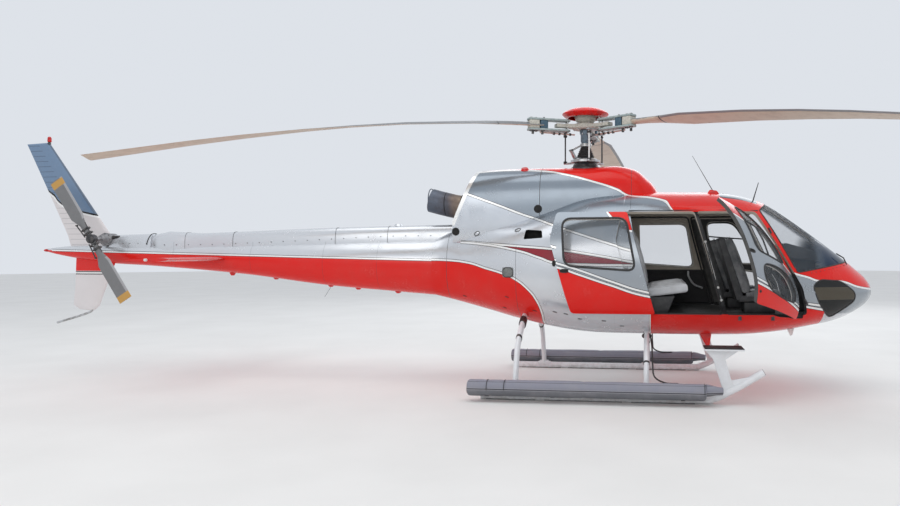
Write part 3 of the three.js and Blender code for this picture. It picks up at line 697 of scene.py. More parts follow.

# %% [markdown]
# The panes are acrylic: nearly clear at the sides, tinted overhead, smoked at the chin. The
# windshields reflect the dark ground and the sky's edge, and this reflection is painted into them:
# they are painted darker towards the nose.

# %% Glass
clear = Finish("clear_glass", (0.2, 0.23, 0.26), 0.02, specular_ior_level=0.9, alpha=0.1,
               coat_weight=0.4, coat_roughness=0.05)
where, *_ = clear.place("home")
# pale patches on the clear panes are painted reflections; the same patches are rougher, as smudges on the
# acrylic
smudges_and_painted_reflections = clear.noise(where, 5, 5, 0.6).rise(0.45, 0.85)
clear.set(roughness=smudges_and_painted_reflections * 0.06 + 0.015,
          base_color=clear.mix(smudges_and_painted_reflections, (0.18, 0.21, 0.24), (0.34, 0.34, 0.33)))

tinted = Finish("dark_glass", (0.02, 0.05, 0.08), 0.12, specular_ior_level=0.25, alpha=0.9)
where, *_ = tinted.place("home")
tinted.set(base_color=tinted.mix(tinted.noise(where, 6, 3), (0.012, 0.04, 0.07), (0.03, 0.07, 0.1)))

# Painted reflection: the windshields are painted darker along the middle and low in front, where the nose
# reflects in them
shade = Finish("windshield_glass", (0.2, 0.24, 0.29), 0.04, alpha=0.12, specular_ior_level=0.22)
_, x, y, _ = shade.place("home")
dark = (1 - abs(y).rise(0.22, 0.34)).highest(x.rise(2.6, 2.78))
shade.set(base_color=shade.mix(dark, (0.2, 0.24, 0.29), (0.012, 0.03, 0.065)), alpha=dark * 0.8 + 0.11)

smoked = Finish("chin_glass", (0.03, 0.032, 0.03), 0.1, specular_ior_level=0.4, alpha=0.88)
*_, z = smoked.place("home")
# a lighter, warm band is painted across the chin glass: a painted reflection of the pale ground below
smoked.set(base_color=smoked.mix(within(z, 1.1, 1.24) * 0.8, (0.012, 0.013, 0.013), (0.1, 0.085, 0.06)))

rubber = Finish("black_rubber", (0.018, 0.018, 0.02), 0.55)
where, *_ = rubber.place()
rubber.set(base_color=rubber.mix(rubber.noise(where, 30, 4), (0.014, 0.014, 0.016),
                                 (0.035, 0.034, 0.033)))
rubber.bump(rubber.noise(where, 700, 2), 0.0005, 0.5)
print("glass and rubber are ready")

# %% [markdown]
# ## Cabin shell
# The cabin is a moulded shell: roof, two side frames, nose and floor pan. The walls are as thick as
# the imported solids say. Panes are eight millimetres here, and a strip of black rubber holds each one.

# %% Cabin panels
WALL, PANE, GAP, DOOR_GAP = 0.04, 0.008, 0.0004, 0.006
SILL, RAIL, BULKHEAD, NOSE_JOINT = 0.93, 2.14, 0.4, 2.56
FRONT_DOOR = [(2.52, 0.936), (2.455, 1.23), (2.331, 1.45), (1.975, 2.08), (1.33, 2.08), (1.645, 0.936)]
UPPER_WINDOW = [(1.53, 2.025), (1.88, 2.025), (2.01, 1.83), (2.205, 1.5), (2.16, 1.468),
                (1.64, 1.49)]
LOWER_WINDOW = [(1.74, 1.365), (2.0, 1.39), (2.25, 1.35), (2.37, 1.22), (2.39, 1.075),
                (2.13, 1.062), (1.83, 1.1), (1.72, 1.23)]
SLIDING_DOOR = [(1.6, 0.936), (1.288, 2.08), (0.485, 2.08), (0.425, 1.76), (0.66, 0.936)]
SLIDING_WINDOW = [(0.556, 2.006), (1.275, 2.01), (1.385, 1.418), (0.592, 1.474)]
WINDSHIELD = [(2.405, 1.402), (3.14, 1.532), (2.7, 2.3), (2.25, 2.276), (2.03, 2.1)]
CHIN_WINDOW = [(2.57, 1.255), (2.65, 1.325), (2.9, 1.305), (3.07, 1.18), (3.07, 1.085),
               (2.79, 0.885), (2.64, 1.07)]
ROOF_WINDOW = [(1.6, 0.11), (2.05, 0.11), (2.03, 0.43), (1.6, 0.48)]
ROOF_REACH = (2, 2.5)
POST_HALF, CHIN_MIDDLE, SILL_DIP_Y = 0.03, 0.25, 0.65
# How round the corners are. The doors' windows are rounder than the fixed ones.
SHIELD_ROUND, DOOR_ROUND, WINDOW_ROUND, PANE_ROUND = 0.03, 0.04, 0.06, 0.105
SIDES, BOTH = {"left": 1, "right": -1}, (1, -1)
KEEP, CUT = "INTERSECT", "DIFFERENCE"


def span(side, start=0.0):
    """From start to beyond the skin, on one side."""
    return (start, FAR) if side > 0 else (-FAR, -start)


def panel(cuts, thick=WALL, materials=(body_paint, inner.material), skin=hull, whole=whole_hull):
    """A wall cut out of a skin, in its closed place."""
    piece = carved(whole, cuts)
    drop_cut_faces(piece)
    walled(piece, thick, materials, inside=1 if len(materials) > 1 else 0)
    return keep_home(shade_as(piece, skin))


def side_prism(corners, side, radius=0.0, grow=0.0, start=0.0):
    return prism(rounded(corners, radius, grow), span(side, start))


def roof_prism(side, grow=0.0):
    return prism(rounded([(x, y * side) for x, y in ROOF_WINDOW], WINDOW_ROUND, grow), ROOF_REACH, "Z")


def windshield_cuts():
    """Both windshields, with the centre post between them."""
    return [(CUT, side_prism(WINDSHIELD, side, SHIELD_ROUND, GAP, POST_HALF - GAP)) for side in BOTH]


nose_cuts = [(KEEP, block((NOSE_JOINT + GAP, 3.5), (-FAR, FAR), (0, 1.7))),
             (CUT, prism(rounded(WINDSHIELD, SHIELD_ROUND, GAP)))]
nose_cuts += [(CUT, side_prism(CHIN_WINDOW, side, WINDOW_ROUND, start=CHIN_MIDDLE)) for side in BOTH]
finished(panel(nose_cuts), "nose_skin", "nose_shell")

roof_cuts = [(KEEP, block((BULKHEAD + GAP, 3.4), (-FAR, FAR), (RAIL + GAP, 3))), *windshield_cuts()]
roof_cuts += [(CUT, roof_prism(side)) for side in BOTH]
finished(panel(roof_cuts), "roof_skin", "roof_shell")

post_cuts = [(KEEP, block((1.5, 3.6), (-POST_HALF, POST_HALF), (1.3, RAIL))),
             (KEEP, prism(rounded(WINDSHIELD, 0.0, -GAP)))]
finished(panel(post_cuts), "centre_post")

for word, side in SIDES.items():
    frame_cuts = [(KEEP, block((BULKHEAD + GAP, NOSE_JOINT), span(side, 0.2), (SILL + GAP, RAIL))),
                  *windshield_cuts()]
    frame_cuts += [(CUT, side_prism(corners, side, DOOR_ROUND, DOOR_GAP))
                   for corners in (FRONT_DOOR, SLIDING_DOOR)]
    finished(panel(frame_cuts), f"side_frame_skin_{word}", f"side_frame_{word}")

# The sliding door closes against a step in the skin, which shows through its window when it is aft
JAMB_DEPTH = 0.046
JAMB_EDGES = {"left": [(0.68, 0.945), (0.655, 2.075)],
              "right": [(0.74, 0.945), (0.69, 1.42), (0.575, 2.075)]}
for word, side in SIDES.items():
    outline = [(0.404, 0.945), *JAMB_EDGES[word], (0.404, 2.075)]
    jamb = carved(whole_hull, [(KEEP, side_prism(outline, side))])
    drop_cut_faces(jamb)
    keep_home(jamb)
    slopes = hull.slope(np.array([vert.co for vert in jamb.data.vertices]))
    for vert, out in zip(jamb.data.vertices, slopes):
        vert.co -= Vector(out) * JAMB_DEPTH
    walled(jamb, 0.006, [jamb_paint, inner.material])
    finished(shade_as(jamb, hull), f"sliding_door_jamb_{word}")
print("points in a jamb:", len(jamb.data.vertices))

# %% [markdown]
# ## Floor pan and rear body
# These two are closed boxes under the floor and behind the cabin, so they stay solid: the cut
# keeps the faces that the prisms leave. Their second material is what is seen from the cabin, the
# floor and the bulkhead. A third, black, lines the air intake and the other recesses: it is
# painted shade.

# %% Floor pan and rear body
deck = Finish("floor_mat", (0.03, 0.03, 0.032), 0.6)
where, _, y, _ = deck.place()
deck.set(base_color=deck.mix(deck.noise(where, 6, 4), (0.018, 0.018, 0.02), (0.055, 0.052, 0.048)),
         roughness=deck.noise(where, 12, 3) * 0.3 + 0.45)
deck.bump(y.part(0.012) > 0.5, 0.0015, 0.6)

# black: real soot inside the exhaust, and painted shade in the recesses, vents and latch plates
soot_and_painted_shade = worn("soot_and_painted_shade", (0.008, 0.008, 0.008), (0.03, 0.027, 0.024), 18, (0.7, 0.25))

SILL_DIP = [(2.15, 0.931), (2.22, 0.908), (2.32, 0.9), (2.375, 0.888), (2.485, 0.888), (2.485, 0.931)]
belly_cuts = [(KEEP, block((BULKHEAD + GAP, NOSE_JOINT), (-FAR, FAR), (0, SILL)))]
belly_cuts += [(CUT, prism(SILL_DIP, span(side, SILL_DIP_Y), material=2)) for side in BOTH]
belly = settle(carved(whole_hull, belly_cuts), [body_paint, deck.material, rubber.material])
finished(keep_home(shade_as(belly, hull)), "belly_skin", "belly_floor")

INTAKE = [(-0.665, 1.775), (-0.645, 1.89), (-0.445, 1.876), (-0.43, 1.79)]
VENT = [(-0.915, 1.335), (-0.915, 1.445), (-0.78, 1.445), (-0.78, 1.335)]
rear_cuts = [(KEEP, block((-1.91, BULKHEAD), (-FAR, FAR), (0, 3)))]
# the recesses' walls take the black, as painted shade
rear_cuts += [(CUT, prism(rounded(outline, radius), span(side, depth), material=2)) for side in BOTH
              for outline, depth, radius in ((INTAKE, 0.52, 0.015), (VENT, 0.58, 0.006))]
rear = settle(carved(whole_hull, rear_cuts), [body_paint, inner.material, soot_and_painted_shade])
finished(keep_home(shade_as(rear, hull)), "rear_body_skin", "rear_body")
print("triangles in the rear body:", sum(len(f.vertices) - 2 for f in rear.data.polygons))

# %% [markdown]
# ## Bars, seals and rims
# Handles, seals, aerials and rods are all round bars along a line, so one helper makes them: a ring
# carried along the line. A bevelled curve would do it too, but its ends stay open and its place has
# to be applied first.


# %% Round bars
def bar(line, radius, material=rubber.material, closed=False, sides=6, flat=1.0, fine=0, tips=None):
    """A round bar along a line of points. tips are its radius at the start and the end."""
    points = [Vector(p) for p in line]
    for _ in range(fine):
        points = smoothed(points, closed)
    count = len(points)
    shape = bmesh.new()
    rings = []
    guide = None
    for i, point in enumerate(points):
        ahead = points[(i + 1) % count] if closed or i < count - 1 else point
        behind = points[i - 1] if closed or i else point
        along = (ahead - behind).normalized()
        guide = guide or (Vector((0, 1, 0)) if abs(along.y) < 0.9 else Vector((1, 0, 0)))
        side = (guide - along * guide.dot(along)).normalized()
        guide = side
        size = radius if tips is None else tips[0] + (tips[1] - tips[0]) * i / (count - 1)
        turn = Matrix((side, along.cross(side) * flat, along)).transposed().to_4x4()
        turn.translation = point
        made = bmesh.ops.create_circle(shape, segments=sides, radius=size, matrix=turn)
        rings.append(made["verts"])
    loops = rings + rings[:1] if closed else rings
    for a, b in zip(loops, loops[1:]):
        edges = [e for ring in (a, b) for e in {e for v in ring for e in v.link_edges}
                 if all(v in ring for v in e.verts)]
        bmesh.ops.bridge_loops(shape, edges=edges)
    if not closed:
        bmesh.ops.holes_fill(shape, edges=[e for e in shape.edges if e.is_boundary], sides=0)
    bmesh.ops.recalc_face_normals(shape, faces=shape.faces)
    return keep_home(soft_edges(hold("bar", shape, [material])))


def smoothed(points, closed=False):
    """Corners cut once, which rounds a line of points; done twice it is a smooth curve."""
    pairs = list(zip(points, points[1:] + (points[:1] if closed else [])))
    line = [q for a, b in pairs for q in (a.lerp(b, 0.25), a.lerp(b, 0.75))]
    return line if closed else [points[0]] + line[1:-1] + [points[-1]]


def soft_edges(piece, angle=40):
    """Smooth faces, with the edges over an angle kept sharp."""
    with edited(piece) as shape:
        for face in shape.faces:
            face.smooth = True
        for edge in shape.edges:
            edge.smooth = len(edge.link_faces) == 2 and edge.calc_face_angle(0) < radians(angle)
    return piece


def laid(places, side, out=0.001, skin=hull):
    """Places in X and Z, laid on one side of a skin."""
    return [Vector((x, side * (skin.half_at(x, z) + out), z)) for x, z in places]


def along_skin(corners, side, radius, grow=0.0, out=0.001, skin=hull, step=0.03):
    """A closed outline laid on one side of a skin."""
    line = rounded(corners, radius, grow)
    dense = []
    for a, b in zip(line, line[1:] + line[:1]):
        pieces = max(1, round((b - a).length / step))
        dense += [a.lerp(b, i / pieces) for i in range(pieces)]
    return laid(dense, side, out, skin)


def joined(name, pieces, stands_for=None, body="airframe"):
    """Several meshes as one piece, each keeping its material."""
    shape = bmesh.new()
    materials = []
    for piece in pieces:
        start, offset = len(shape.faces), len(materials)
        shape.from_mesh(piece.data)
        shape.faces.ensure_lookup_table()
        materials += list(piece.data.materials)
        for face in shape.faces[start:]:
            face.material_index += offset
        bpy.data.objects.remove(piece)
    return finished(hold(name, shape, materials), name, stands_for, body)


print("bars are ready")

# %% [markdown]
# ## Doors
# Each door is cut closed, together with its panes and seals, and the starboard ones are then moved
# to where they stand: the front door turned about its raked hinge line, the sliding door out and
# aft along its rail. The paint still reads the closed place, so the stripes move with the doors.

# %% Doors
HINGE_LOW, HINGE_HIGH = Vector((2.545, -0.905, 0.95)), Vector((2.045, -0.8, 2.0))
DOOR_ANGLE = radians(52)
SWING = Matrix.Translation(HINGE_LOW) @ Matrix.Rotation(DOOR_ANGLE, 4, HINGE_HIGH - HINGE_LOW)
SWING = SWING @ Matrix.Translation(-HINGE_LOW)
SLIDE = Matrix.Translation((-0.74, -0.08, 0))
SEAL_OUT, EDGE_IN, EDGE_RADIUS, SLIDER_RADIUS = -0.002, -0.006, 0.0035, 0.009

trim_paint = worn("window_trim", (0.62, 0.6, 0.55), (0.45, 0.43, 0.39), 20, (0.5, 0.2))
door_lining = worn("door_lining", (0.08, 0.078, 0.074), (0.045, 0.045, 0.044), 14, (0.6, 0.2))

# Columns: kind, outline, its windows with the words in their names, seal, lining, where it stands
DOORS = [
    ("front", FRONT_DOOR, [("front_upper", "front_door_upper", UPPER_WINDOW),
                           ("front_lower", "front_door_lower", LOWER_WINDOW)], 0.011, door_lining, SWING),
    ("sliding", SLIDING_DOOR, [("sliding", "sliding_door", SLIDING_WINDOW)], 0.013, inner.material, SLIDE)]
# The frame of the small pane that slides inside the front doors' upper windows
SLIDER = [[(1.57, 1.835), (1.8, 1.815), (2.012, 1.8)], [(1.8, 1.815), (1.84, 1.66), (1.87, 1.48)]]


def window(corners, side, rim):
    """A pane, and the rubber that holds it with the trim inside, in their closed place."""
    pane = panel([(KEEP, side_prism(corners, side, PANE_ROUND, -GAP))], PANE, [clear.material])
    seal = bar(along_skin(corners, side, PANE_ROUND, out=SEAL_OUT), rim, closed=True)
    trim = bar(along_skin(corners, side, PANE_ROUND, 0.004, -WALL - 0.004), 0.009, trim_paint, closed=True)
    return pane, [seal, trim]


def stand(pieces, side, matrix):
    """Carries starboard meshes from their closed place to where they stand."""
    for piece in pieces if side < 0 else ():
        piece.data.transform(matrix)


for word, side in SIDES.items():
    for kind, outline, windows, rim, lining, matrix in DOORS:
        cuts = [(KEEP, side_prism(outline, side, DOOR_ROUND))]
        cuts += [(CUT, side_prism(corners, side, PANE_ROUND)) for *_, corners in windows]
        skin = panel(cuts, materials=[body_paint, lining])
        fitted = [window(corners, side, rim) for *_, corners in windows]
        panes, bars = [pane for pane, _ in fitted], [piece for _, rims in fitted for piece in rims]
        for line in SLIDER if kind == "front" else ():
            bars.append(bar(laid(line, side, -0.004), SLIDER_RADIUS))
        bars.append(bar(along_skin(outline, side, DOOR_ROUND, -0.004, EDGE_IN), EDGE_RADIUS, closed=True))
        stand([skin, *panes, *bars], side, matrix)
        body = f"door_{word}" if kind == "front" else "airframe"
        finished(skin, f"{kind}_door_skin_{word}", f"{kind}_door_{word}", body)
        for pane, (name, solid, _) in zip(panes, windows):
            finished(pane, f"{name}_pane_{word}", f"{solid}_window_{word}", body)
        joined(f"{kind}_door_seals_{word}", bars, body=body)
print("doors are cut, starboard front one open by", round(DOOR_ANGLE * 180 / pi), "degrees")

# %% [markdown]
# ## Fixed panes
# The two windshields meet at the centre post, the chin windows below them and the roof windows
# above are tinted. They are cut from the same skin as the shell, thinner, and sit in its holes.

# %% Windshields, chin and roof windows
for word, side in SIDES.items():
    shield = side_prism(WINDSHIELD, side, SHIELD_ROUND, -GAP, POST_HALF + GAP)
    chin = side_prism(CHIN_WINDOW, side, WINDOW_ROUND, -GAP, CHIN_MIDDLE)
    for name, solid, cutter, finish, slot_name in (
            ("windshield", "windshield", shield, shade, "clear_glass"),
            ("chin", "chin_window", chin, smoked, "clear_glass"),
            ("roof", "roof_window", roof_prism(side, -GAP), tinted, "dark_glass")):
        pane = panel([(KEEP, cutter)], PANE, [finish.material])
        finished(pane, f"{name}_pane_{word}", f"{solid}_{word}")

for word, side in SIDES.items():
    rims = []
    for corners, radius, middle in ((CHIN_WINDOW, WINDOW_ROUND, CHIN_MIDDLE),
                                    (WINDSHIELD, SHIELD_ROUND, POST_HALF)):
        line = along_skin(corners, side, radius, out=SEAL_OUT)
        rims.append(bar([p for p in line if abs(p.y) > middle], 0.008))
    joined(f"pane_rims_{word}", rims)
print("panes are in")

# %% [markdown]
# ## Hoods over gearbox and engine
# Two light covers stand on the engine deck. They are one form, split by a gap, so they are cut from
# one skin. The mast comes up through a round opening, and the exhaust leaves through the raked
# back face.

# %% Hoods
# Columns: x, top, half width, height where the sides start to round
HOODS = [(x, 1.7, top, half, middle, 6, 2.9) for x, top, half, middle in (
    (0.905, 2.33, 0.19, 2.15), (0.86, 2.415, 0.25, 2.15), (0.76, 2.52, 0.31, 2.17),
    (0.66, 2.61, 0.35, 2.19), (0.54, 2.655, 0.375, 2.2), (0.0, 2.662, 0.415, 2.2),
    (-0.6, 2.662, 0.44, 2.18), (-1.0, 2.655, 0.43, 2.15), (-1.32, 2.638, 0.4, 2.13),
    (-1.6, 2.62, 0.37, 2.1))]
HOOD_WALL, HOOD_SPLIT, HOOD_GAP = 0.018, -0.51, 0.003
HOOD_BACK = [(-1.6, 1.9), (-1.6, 2.0), (-1.3, 2.7), (-2.2, 2.7), (-2.2, 1.5), (-1.6, 1.5)]
EXHAUST_LINE = [(-1.27, 0, 2.225), (-1.56, 0, 2.195), (-1.77, 0, 2.232), (-1.975, 0, 2.285)]
OUTLET, MAST_WELL = 0.156, 0.19
UP, ORIGIN = (0, 0, 1), (0, 0, 0)

hoods = Skin(HOODS, 96, 0.05)
whole_hoods = hoods.mesh(CUT_MATERIALS)
hull_cutter = whole_hull.copy()
hull_cutter.data = whole_hull.data.copy()
SCENE.objects.link(hull_cutter)
for face in hull_cutter.data.polygons:
    face.material_index = 1
BENCH += [whole_hoods, hull_cutter]


def facing(axis, place):
    """The way from the origin, upright, to a place and an axis."""
    return Matrix.Translation(place) @ Vector(UP).rotation_difference(Vector(axis)).to_matrix().to_4x4()


def drum(radius, centre, axis, length=0.6):
    """A round cutter along an axis."""
    shape = bmesh.new()
    bmesh.ops.create_cone(shape, cap_ends=True, segments=48, radius1=radius, radius2=radius,
                          depth=length, matrix=facing(axis, centre))
    for face in shape.faces:
        face.material_index = 1
    return hold("cutter", shape, CUT_MATERIALS)


def hood_panel(x_range, hole):
    cuts = [(CUT, hull_cutter), (CUT, prism(HOOD_BACK, material=0)),
            (KEEP, block(x_range, (-FAR, FAR), (1, 3))), (CUT, hole)]
    return panel(cuts, HOOD_WALL, skin=hoods, whole=whole_hoods)


outlet, mast_hole = drum(OUTLET, (-1.5, 0, 2.2), (1, 0, 0.04)), drum(MAST_WELL, (0, 0, 2.66), UP)
for word, x_range, hole, colour in (
        ("gearbox_hood", (HOOD_SPLIT + HOOD_GAP, 1.5), mast_hole, "red_paint"),
        ("engine_hood", (-2.0, HOOD_SPLIT - HOOD_GAP), outlet, "silver_paint")):
    finished(hood_panel(x_range, hole), f"{word}_skin", word)
print("hoods are cut")

# %% [markdown]
# ## Exhaust
# A short steel pipe, blued and browned by heat, in three welded lengths that turn aft. It is thin
# and open, so it is a tube with its wall, and the seams are rings round it.

# %% Exhaust
steel = Finish("burnt_metal", (0.33, 0.32, 0.31), 0.4, 0.9)
where, x, *_ = steel.place()
heat = (x * -1.0 + steel.noise(where, 4, 3) * 0.16).rise(1.55, 2.05)
HEAT_TONES = [(0.0, (0.26, 0.2, 0.15)), (0.35, (0.19, 0.15, 0.13)), (0.55, (0.1, 0.1, 0.12)),
              (1.0, (0.13, 0.15, 0.19))]
tone = steel.node("ShaderNodeValToRGB", {"stops": HEAT_TONES}, [heat])
streaks = steel.noise(where, 26, 4, 0.7)
steel.set(base_color=steel.mix(streaks.rise(0.4, 0.8) * 0.5, tone, (0.1, 0.09, 0.09)),
          roughness=streaks * 0.35 + 0.34)
steel.bump(streaks, 0.001, 0.3)


def spline(points, steps=10):
    """A smooth line through the points."""
    points = [Vector(p) for p in points]
    ends = [points[0] * 2 - points[1]] + points + [points[-1] * 2 - points[-2]]
    line = []
    for p0, p1, p2, p3 in zip(ends, ends[1:], ends[2:], ends[3:]):
        for t in np.linspace(0, 1, steps, endpoint=False):
            line.append(0.5 * (2 * p1 + (p2 - p0) * t + (2 * p0 - 5 * p1 + 4 * p2 - p3) * t**2
                               + (3 * p1 - p0 - 3 * p2 + p3) * t**3))
    return line + [points[-1]]


def turns(count):
    """Angles evenly round a circle."""
    return np.linspace(0, 2 * pi, count + 1)[:-1]


# The pipe is a bar whose end faces are taken away, and then given its wall
pipe = bar(spline(EXHAUST_LINE), 0.15, steel.material, sides=40)
with edited(pipe) as shape:
    bmesh.ops.delete(shape, geom=[f for f in shape.faces if len(f.verts) > 4], context="FACES")
walled(pipe, 0.012, [steel.material, soot_and_painted_shade])

parts = [pipe]
for place, radius, thick, material, sides in (
        (EXHAUST_LINE[1], 0.1505, 0.0055, soot_and_painted_shade, 6), (EXHAUST_LINE[2], 0.1505, 0.0055, soot_and_painted_shade, 6),
        (EXHAUST_LINE[3], 0.147, 0.0065, steel.material, 8)):
    ring = [Vector(place) + Vector((0, cos(a), sin(a))) * radius for a in turns(40)]
    parts.append(bar(ring, thick, material, True, sides))
joined("exhaust_pipe", parts, "exhaust")

ENGINE = frame["nodes"]["engine_block"]
ENGINE.data.materials.clear()
ENGINE.data.materials.append(steel.material)
print("exhaust is in, with", len(parts) - 2, "welds")

# %% [markdown]
# ## Tail
# The boom is a riveted cone of sheet metal, with the drive shaft's cover screwed along its top, a
# short wing, and two fins. The paint follows the same rule as on the body: silver above one long
# white line, red below it. The fins are grey-blue above, and pale below.

# %% Tail paint
FIN_LINE = [(-7.7, 2.6), (-7.312, 2.393), (-7.21, 2.29), (-7.096, 2.225), (-6.98, 2.185),
            (-6.763, 2.13), (-6.6, 2.098), (-6.3, 2.06)]
FIN_BLUE, FIN_PALE = (0.16, 0.24, 0.36), (0.72, 0.68, 0.68)
FIN_FOOT, FIN_FRONT = 1.372, -6.1
SHEET_JOINTS = (-2.62, -3.35, -4.35, -5.45, -6.12)

paint = Finish("tail_paint", SILVER, 0.25, coat_weight=0.22, coat_roughness=0.05, specular_ior_level=0.3)
where, x, _, z = paint.place("home")
_, share, reach, _ = paint.place("chord")
line, fin_line = z - (x * -0.0235 + 1.481), drawn(paint, x, z, FIN_LINE)
red = (line < 0) * (z > FIN_FOOT).highest(x > FIN_FRONT)
low_fin = (z < FIN_FOOT) * (x < FIN_FRONT)
fin = (reach > 0.001) * (z > 1.6)
blue = fin * (fin_line > 0)
# lines of rivets over the ribs, on the rear half
ribs = ((z - 0.02).part(0.071) < 0.14) * within(share, 0.46, 0.96) * fin
tone = paint.layers(SILVER, (red, RED), (fin.highest(low_fin), FIN_PALE), (blue, FIN_BLUE),
                    (ribs * (blue * 0.25 + 0.25), (0.05, 0.07, 0.1)),
                    (blue * (share < 0.055) * 0.6, (0.08, 0.1, 0.13)))
tone = stripe(paint, tone, line, (x > -7.3) * (z > 1.5), 0.01, 0.0055)
tone = stripe(paint, tone, fin_line, fin, 0.011, 0.0)
tone = paint.mix(within(fin_line, 0.011, 0.034) * fin, tone, BLACK)
tone = stripe(paint, tone, z - 1.345, x < FIN_FRONT, 0.01, 0.012)
joints = any_of(*(abs(x - place) < 0.0018 for place in SHEET_JOINTS))
tone = paint.mix(joints * (z < 1.76) * 0.5, tone, (0.05, 0.05, 0.055))
coated(paint, tone, (1 - any_of(red, fin, low_fin)) * 0.6, where)
tail_paint = paint.material

# %% Boom and shaft cover
# Columns: x, bottom, top, half width, height of the widest place
BOOM = [(*row, 2.1, 2.1) for row in (
    (-1.9003, 1.08, 1.808, 0.265, 1.444), (-2.55, 1.13, 1.785, 0.232, 1.458),
    (-3.3, 1.19, 1.765, 0.203, 1.478), (-4.5, 1.335, 1.74, 0.165, 1.538),
    (-5.15, 1.392, 1.725, 0.145, 1.559), (-5.9, 1.447, 1.72, 0.125, 1.584),
    (-6.45, 1.478, 1.725, 0.11, 1.602), (-6.95, 1.545, 1.715, 0.078, 1.63),
    (-7.25, 1.598, 1.69, 0.042, 1.644), (-7.38, 1.628, 1.671, 0.016, 1.65),
    (-7.4, 1.64, 1.66, 0.006, 1.65))]
# Columns: x, top, half width
SHAFT_COVER = [(x, 1.5, top, half, 1.7, 12, 3.2) for x, top, half in (
    (-1.602, 1.978, 0.125), (-1.9, 1.972, 0.12), (-3.26, 1.942, 0.105), (-5.1, 1.878, 0.092),
    (-5.78, 1.86, 0.085), (-5.8, 1.852, 0.078))]
boom_skin, cover_skin = Skin(BOOM, 64, 0.12), Skin(SHAFT_COVER, 48, 0.2)


def smooth_skin(skin):
    return keep_home(shade_as(skin.mesh([tail_paint]), skin, 0.5))


finished(smooth_skin(boom_skin), "boom_skin", "tail_boom")
finished(smooth_skin(cover_skin), "shaft_cover_skin", "shaft_cover")

metal = worn("bare_metal", (0.56, 0.57, 0.58), (0.2, 0.18, 0.16), 16, (0.18, 0.35), 0.9)
dark_metal = worn("dark_metal", (0.045, 0.045, 0.05), (0.16, 0.15, 0.14), 22, (0.25, 0.35), 0.7)


def button(place, radius, height, axis, sides=12, material=dark_metal):
    """A screw head or other small round fitting."""
    shape = bmesh.new()
    base = Vector(place) + Vector(axis).normalized() * height * 0.3
    bmesh.ops.create_cone(shape, cap_ends=True, segments=sides, radius1=radius, radius2=radius * 0.7,
                          depth=height, matrix=facing(axis, base))
    return keep_home(soft_edges(hold("button", shape, [material])))


screws = []
for x in np.arange(-1.95, -5.75, -0.165):
    z = float(np.interp(x, (-5.8, -4.893, -3.69, -2.524, -1.9), (1.69, 1.697, 1.745, 1.8, 1.806))) - 0.006
    y = cover_skin.half_at(x, z) + 0.001
    screws += [button((x, side * y, z + 0.035), 0.007, 0.005, (0, side, 0), 8) for side in BOTH]
for x in (-2.52, -3.22, -4.63, -5.3):
    ring = [cover_skin.point(x, a, 0.002) for a in np.linspace(-0.02, pi + 0.02, 26)]
    screws.append(bar(ring, 0.0022, dark_metal))
joined("cover_screws", screws)
print("boom is in, screws:", len(screws))

# %% [markdown]
# ## Wings and fins
# All of them, and the rotor blades too, have an aerofoil section that changes along the span. The
# same few lines make them: a sheet wrapped round the section at each station. Each point also keeps
# how far it lies from the front edge to the back one, and along the span, for the paint.


# %% Aerofoils
def aerofoil(stations, across, materials, along=40, wrap=28, round_tips=True):
    """Stations hold front edge, back edge and thickness, in metres."""
    reach = [0.0]
    for (a, *_), (b, *_) in zip(stations, stations[1:]):
        reach.append(reach[-1] + (Vector(b) - Vector(a)).length)
    rows = sorted({*np.linspace(0, reach[-1], along + 1).round(6), *np.round(reach, 6)})
    if round_tips:
        tip = 0.6 * stations[-1][2]
        rows = [r for r in rows if r < reach[-1] - tip]
        rows += [reach[-1] - tip * (1 - s) for s in (0, 0.5, 0.85, 1)]
    flat = np.array([[*lead, *trail, thick] for lead, trail, thick in stations])
    normal = Vector(across).normalized()
    shape = bmesh.new()
    chord_layer = shape.verts.layers.float_vector.new("chord")
    bmesh.ops.create_grid(shape, x_segments=len(rows) - 1, y_segments=wrap, size=0.5)
    for vert in shape.verts:
        i, j = round((vert.co.x + 0.5) * (len(rows) - 1)), round((vert.co.y + 0.5) * wrap)
        row = [np.interp(rows[i], reach, flat[:, k]) for k in range(7)]
        lead, trail, thick = Vector(row[:3]), Vector(row[3:6]), row[6]
        if round_tips:
            thick *= max(0.08, 1 - max(0, (rows[i] - reach[-1] + tip) / tip) ** 2) ** 0.5
        turn = j / wrap * 2 * pi
        t = (1 - cos(turn)) / 2
        swell = min(1.0, 2.0 * t**0.5 * (1 - t) + 0.06 * (1 - (2 * t - 1) ** 8))
        vert.co = lead.lerp(trail, t) + normal * (thick * 0.5 * swell * (1 if turn < pi else -1))
        vert[chord_layer] = (t, rows[i], float(turn < pi))
    return keep_home(soft_edges(hold("aerofoil", closed_up(shape), materials), 50))


wing_paint = worn("wing_paint", RED, (0.55, 0.02, 0.02), 5, (0.18, 0.15))

wing = aerofoil([((-4.7, y, 1.54), (-5.25, y, 1.53), 0.05 if abs(y) > 1 else 0.062)
                 for y in (-1.265, -0.3, 0.3, 1.265)], UP, [wing_paint], along=24, round_tips=False)
finished(wing, "stabiliser_skin", "stabiliser")

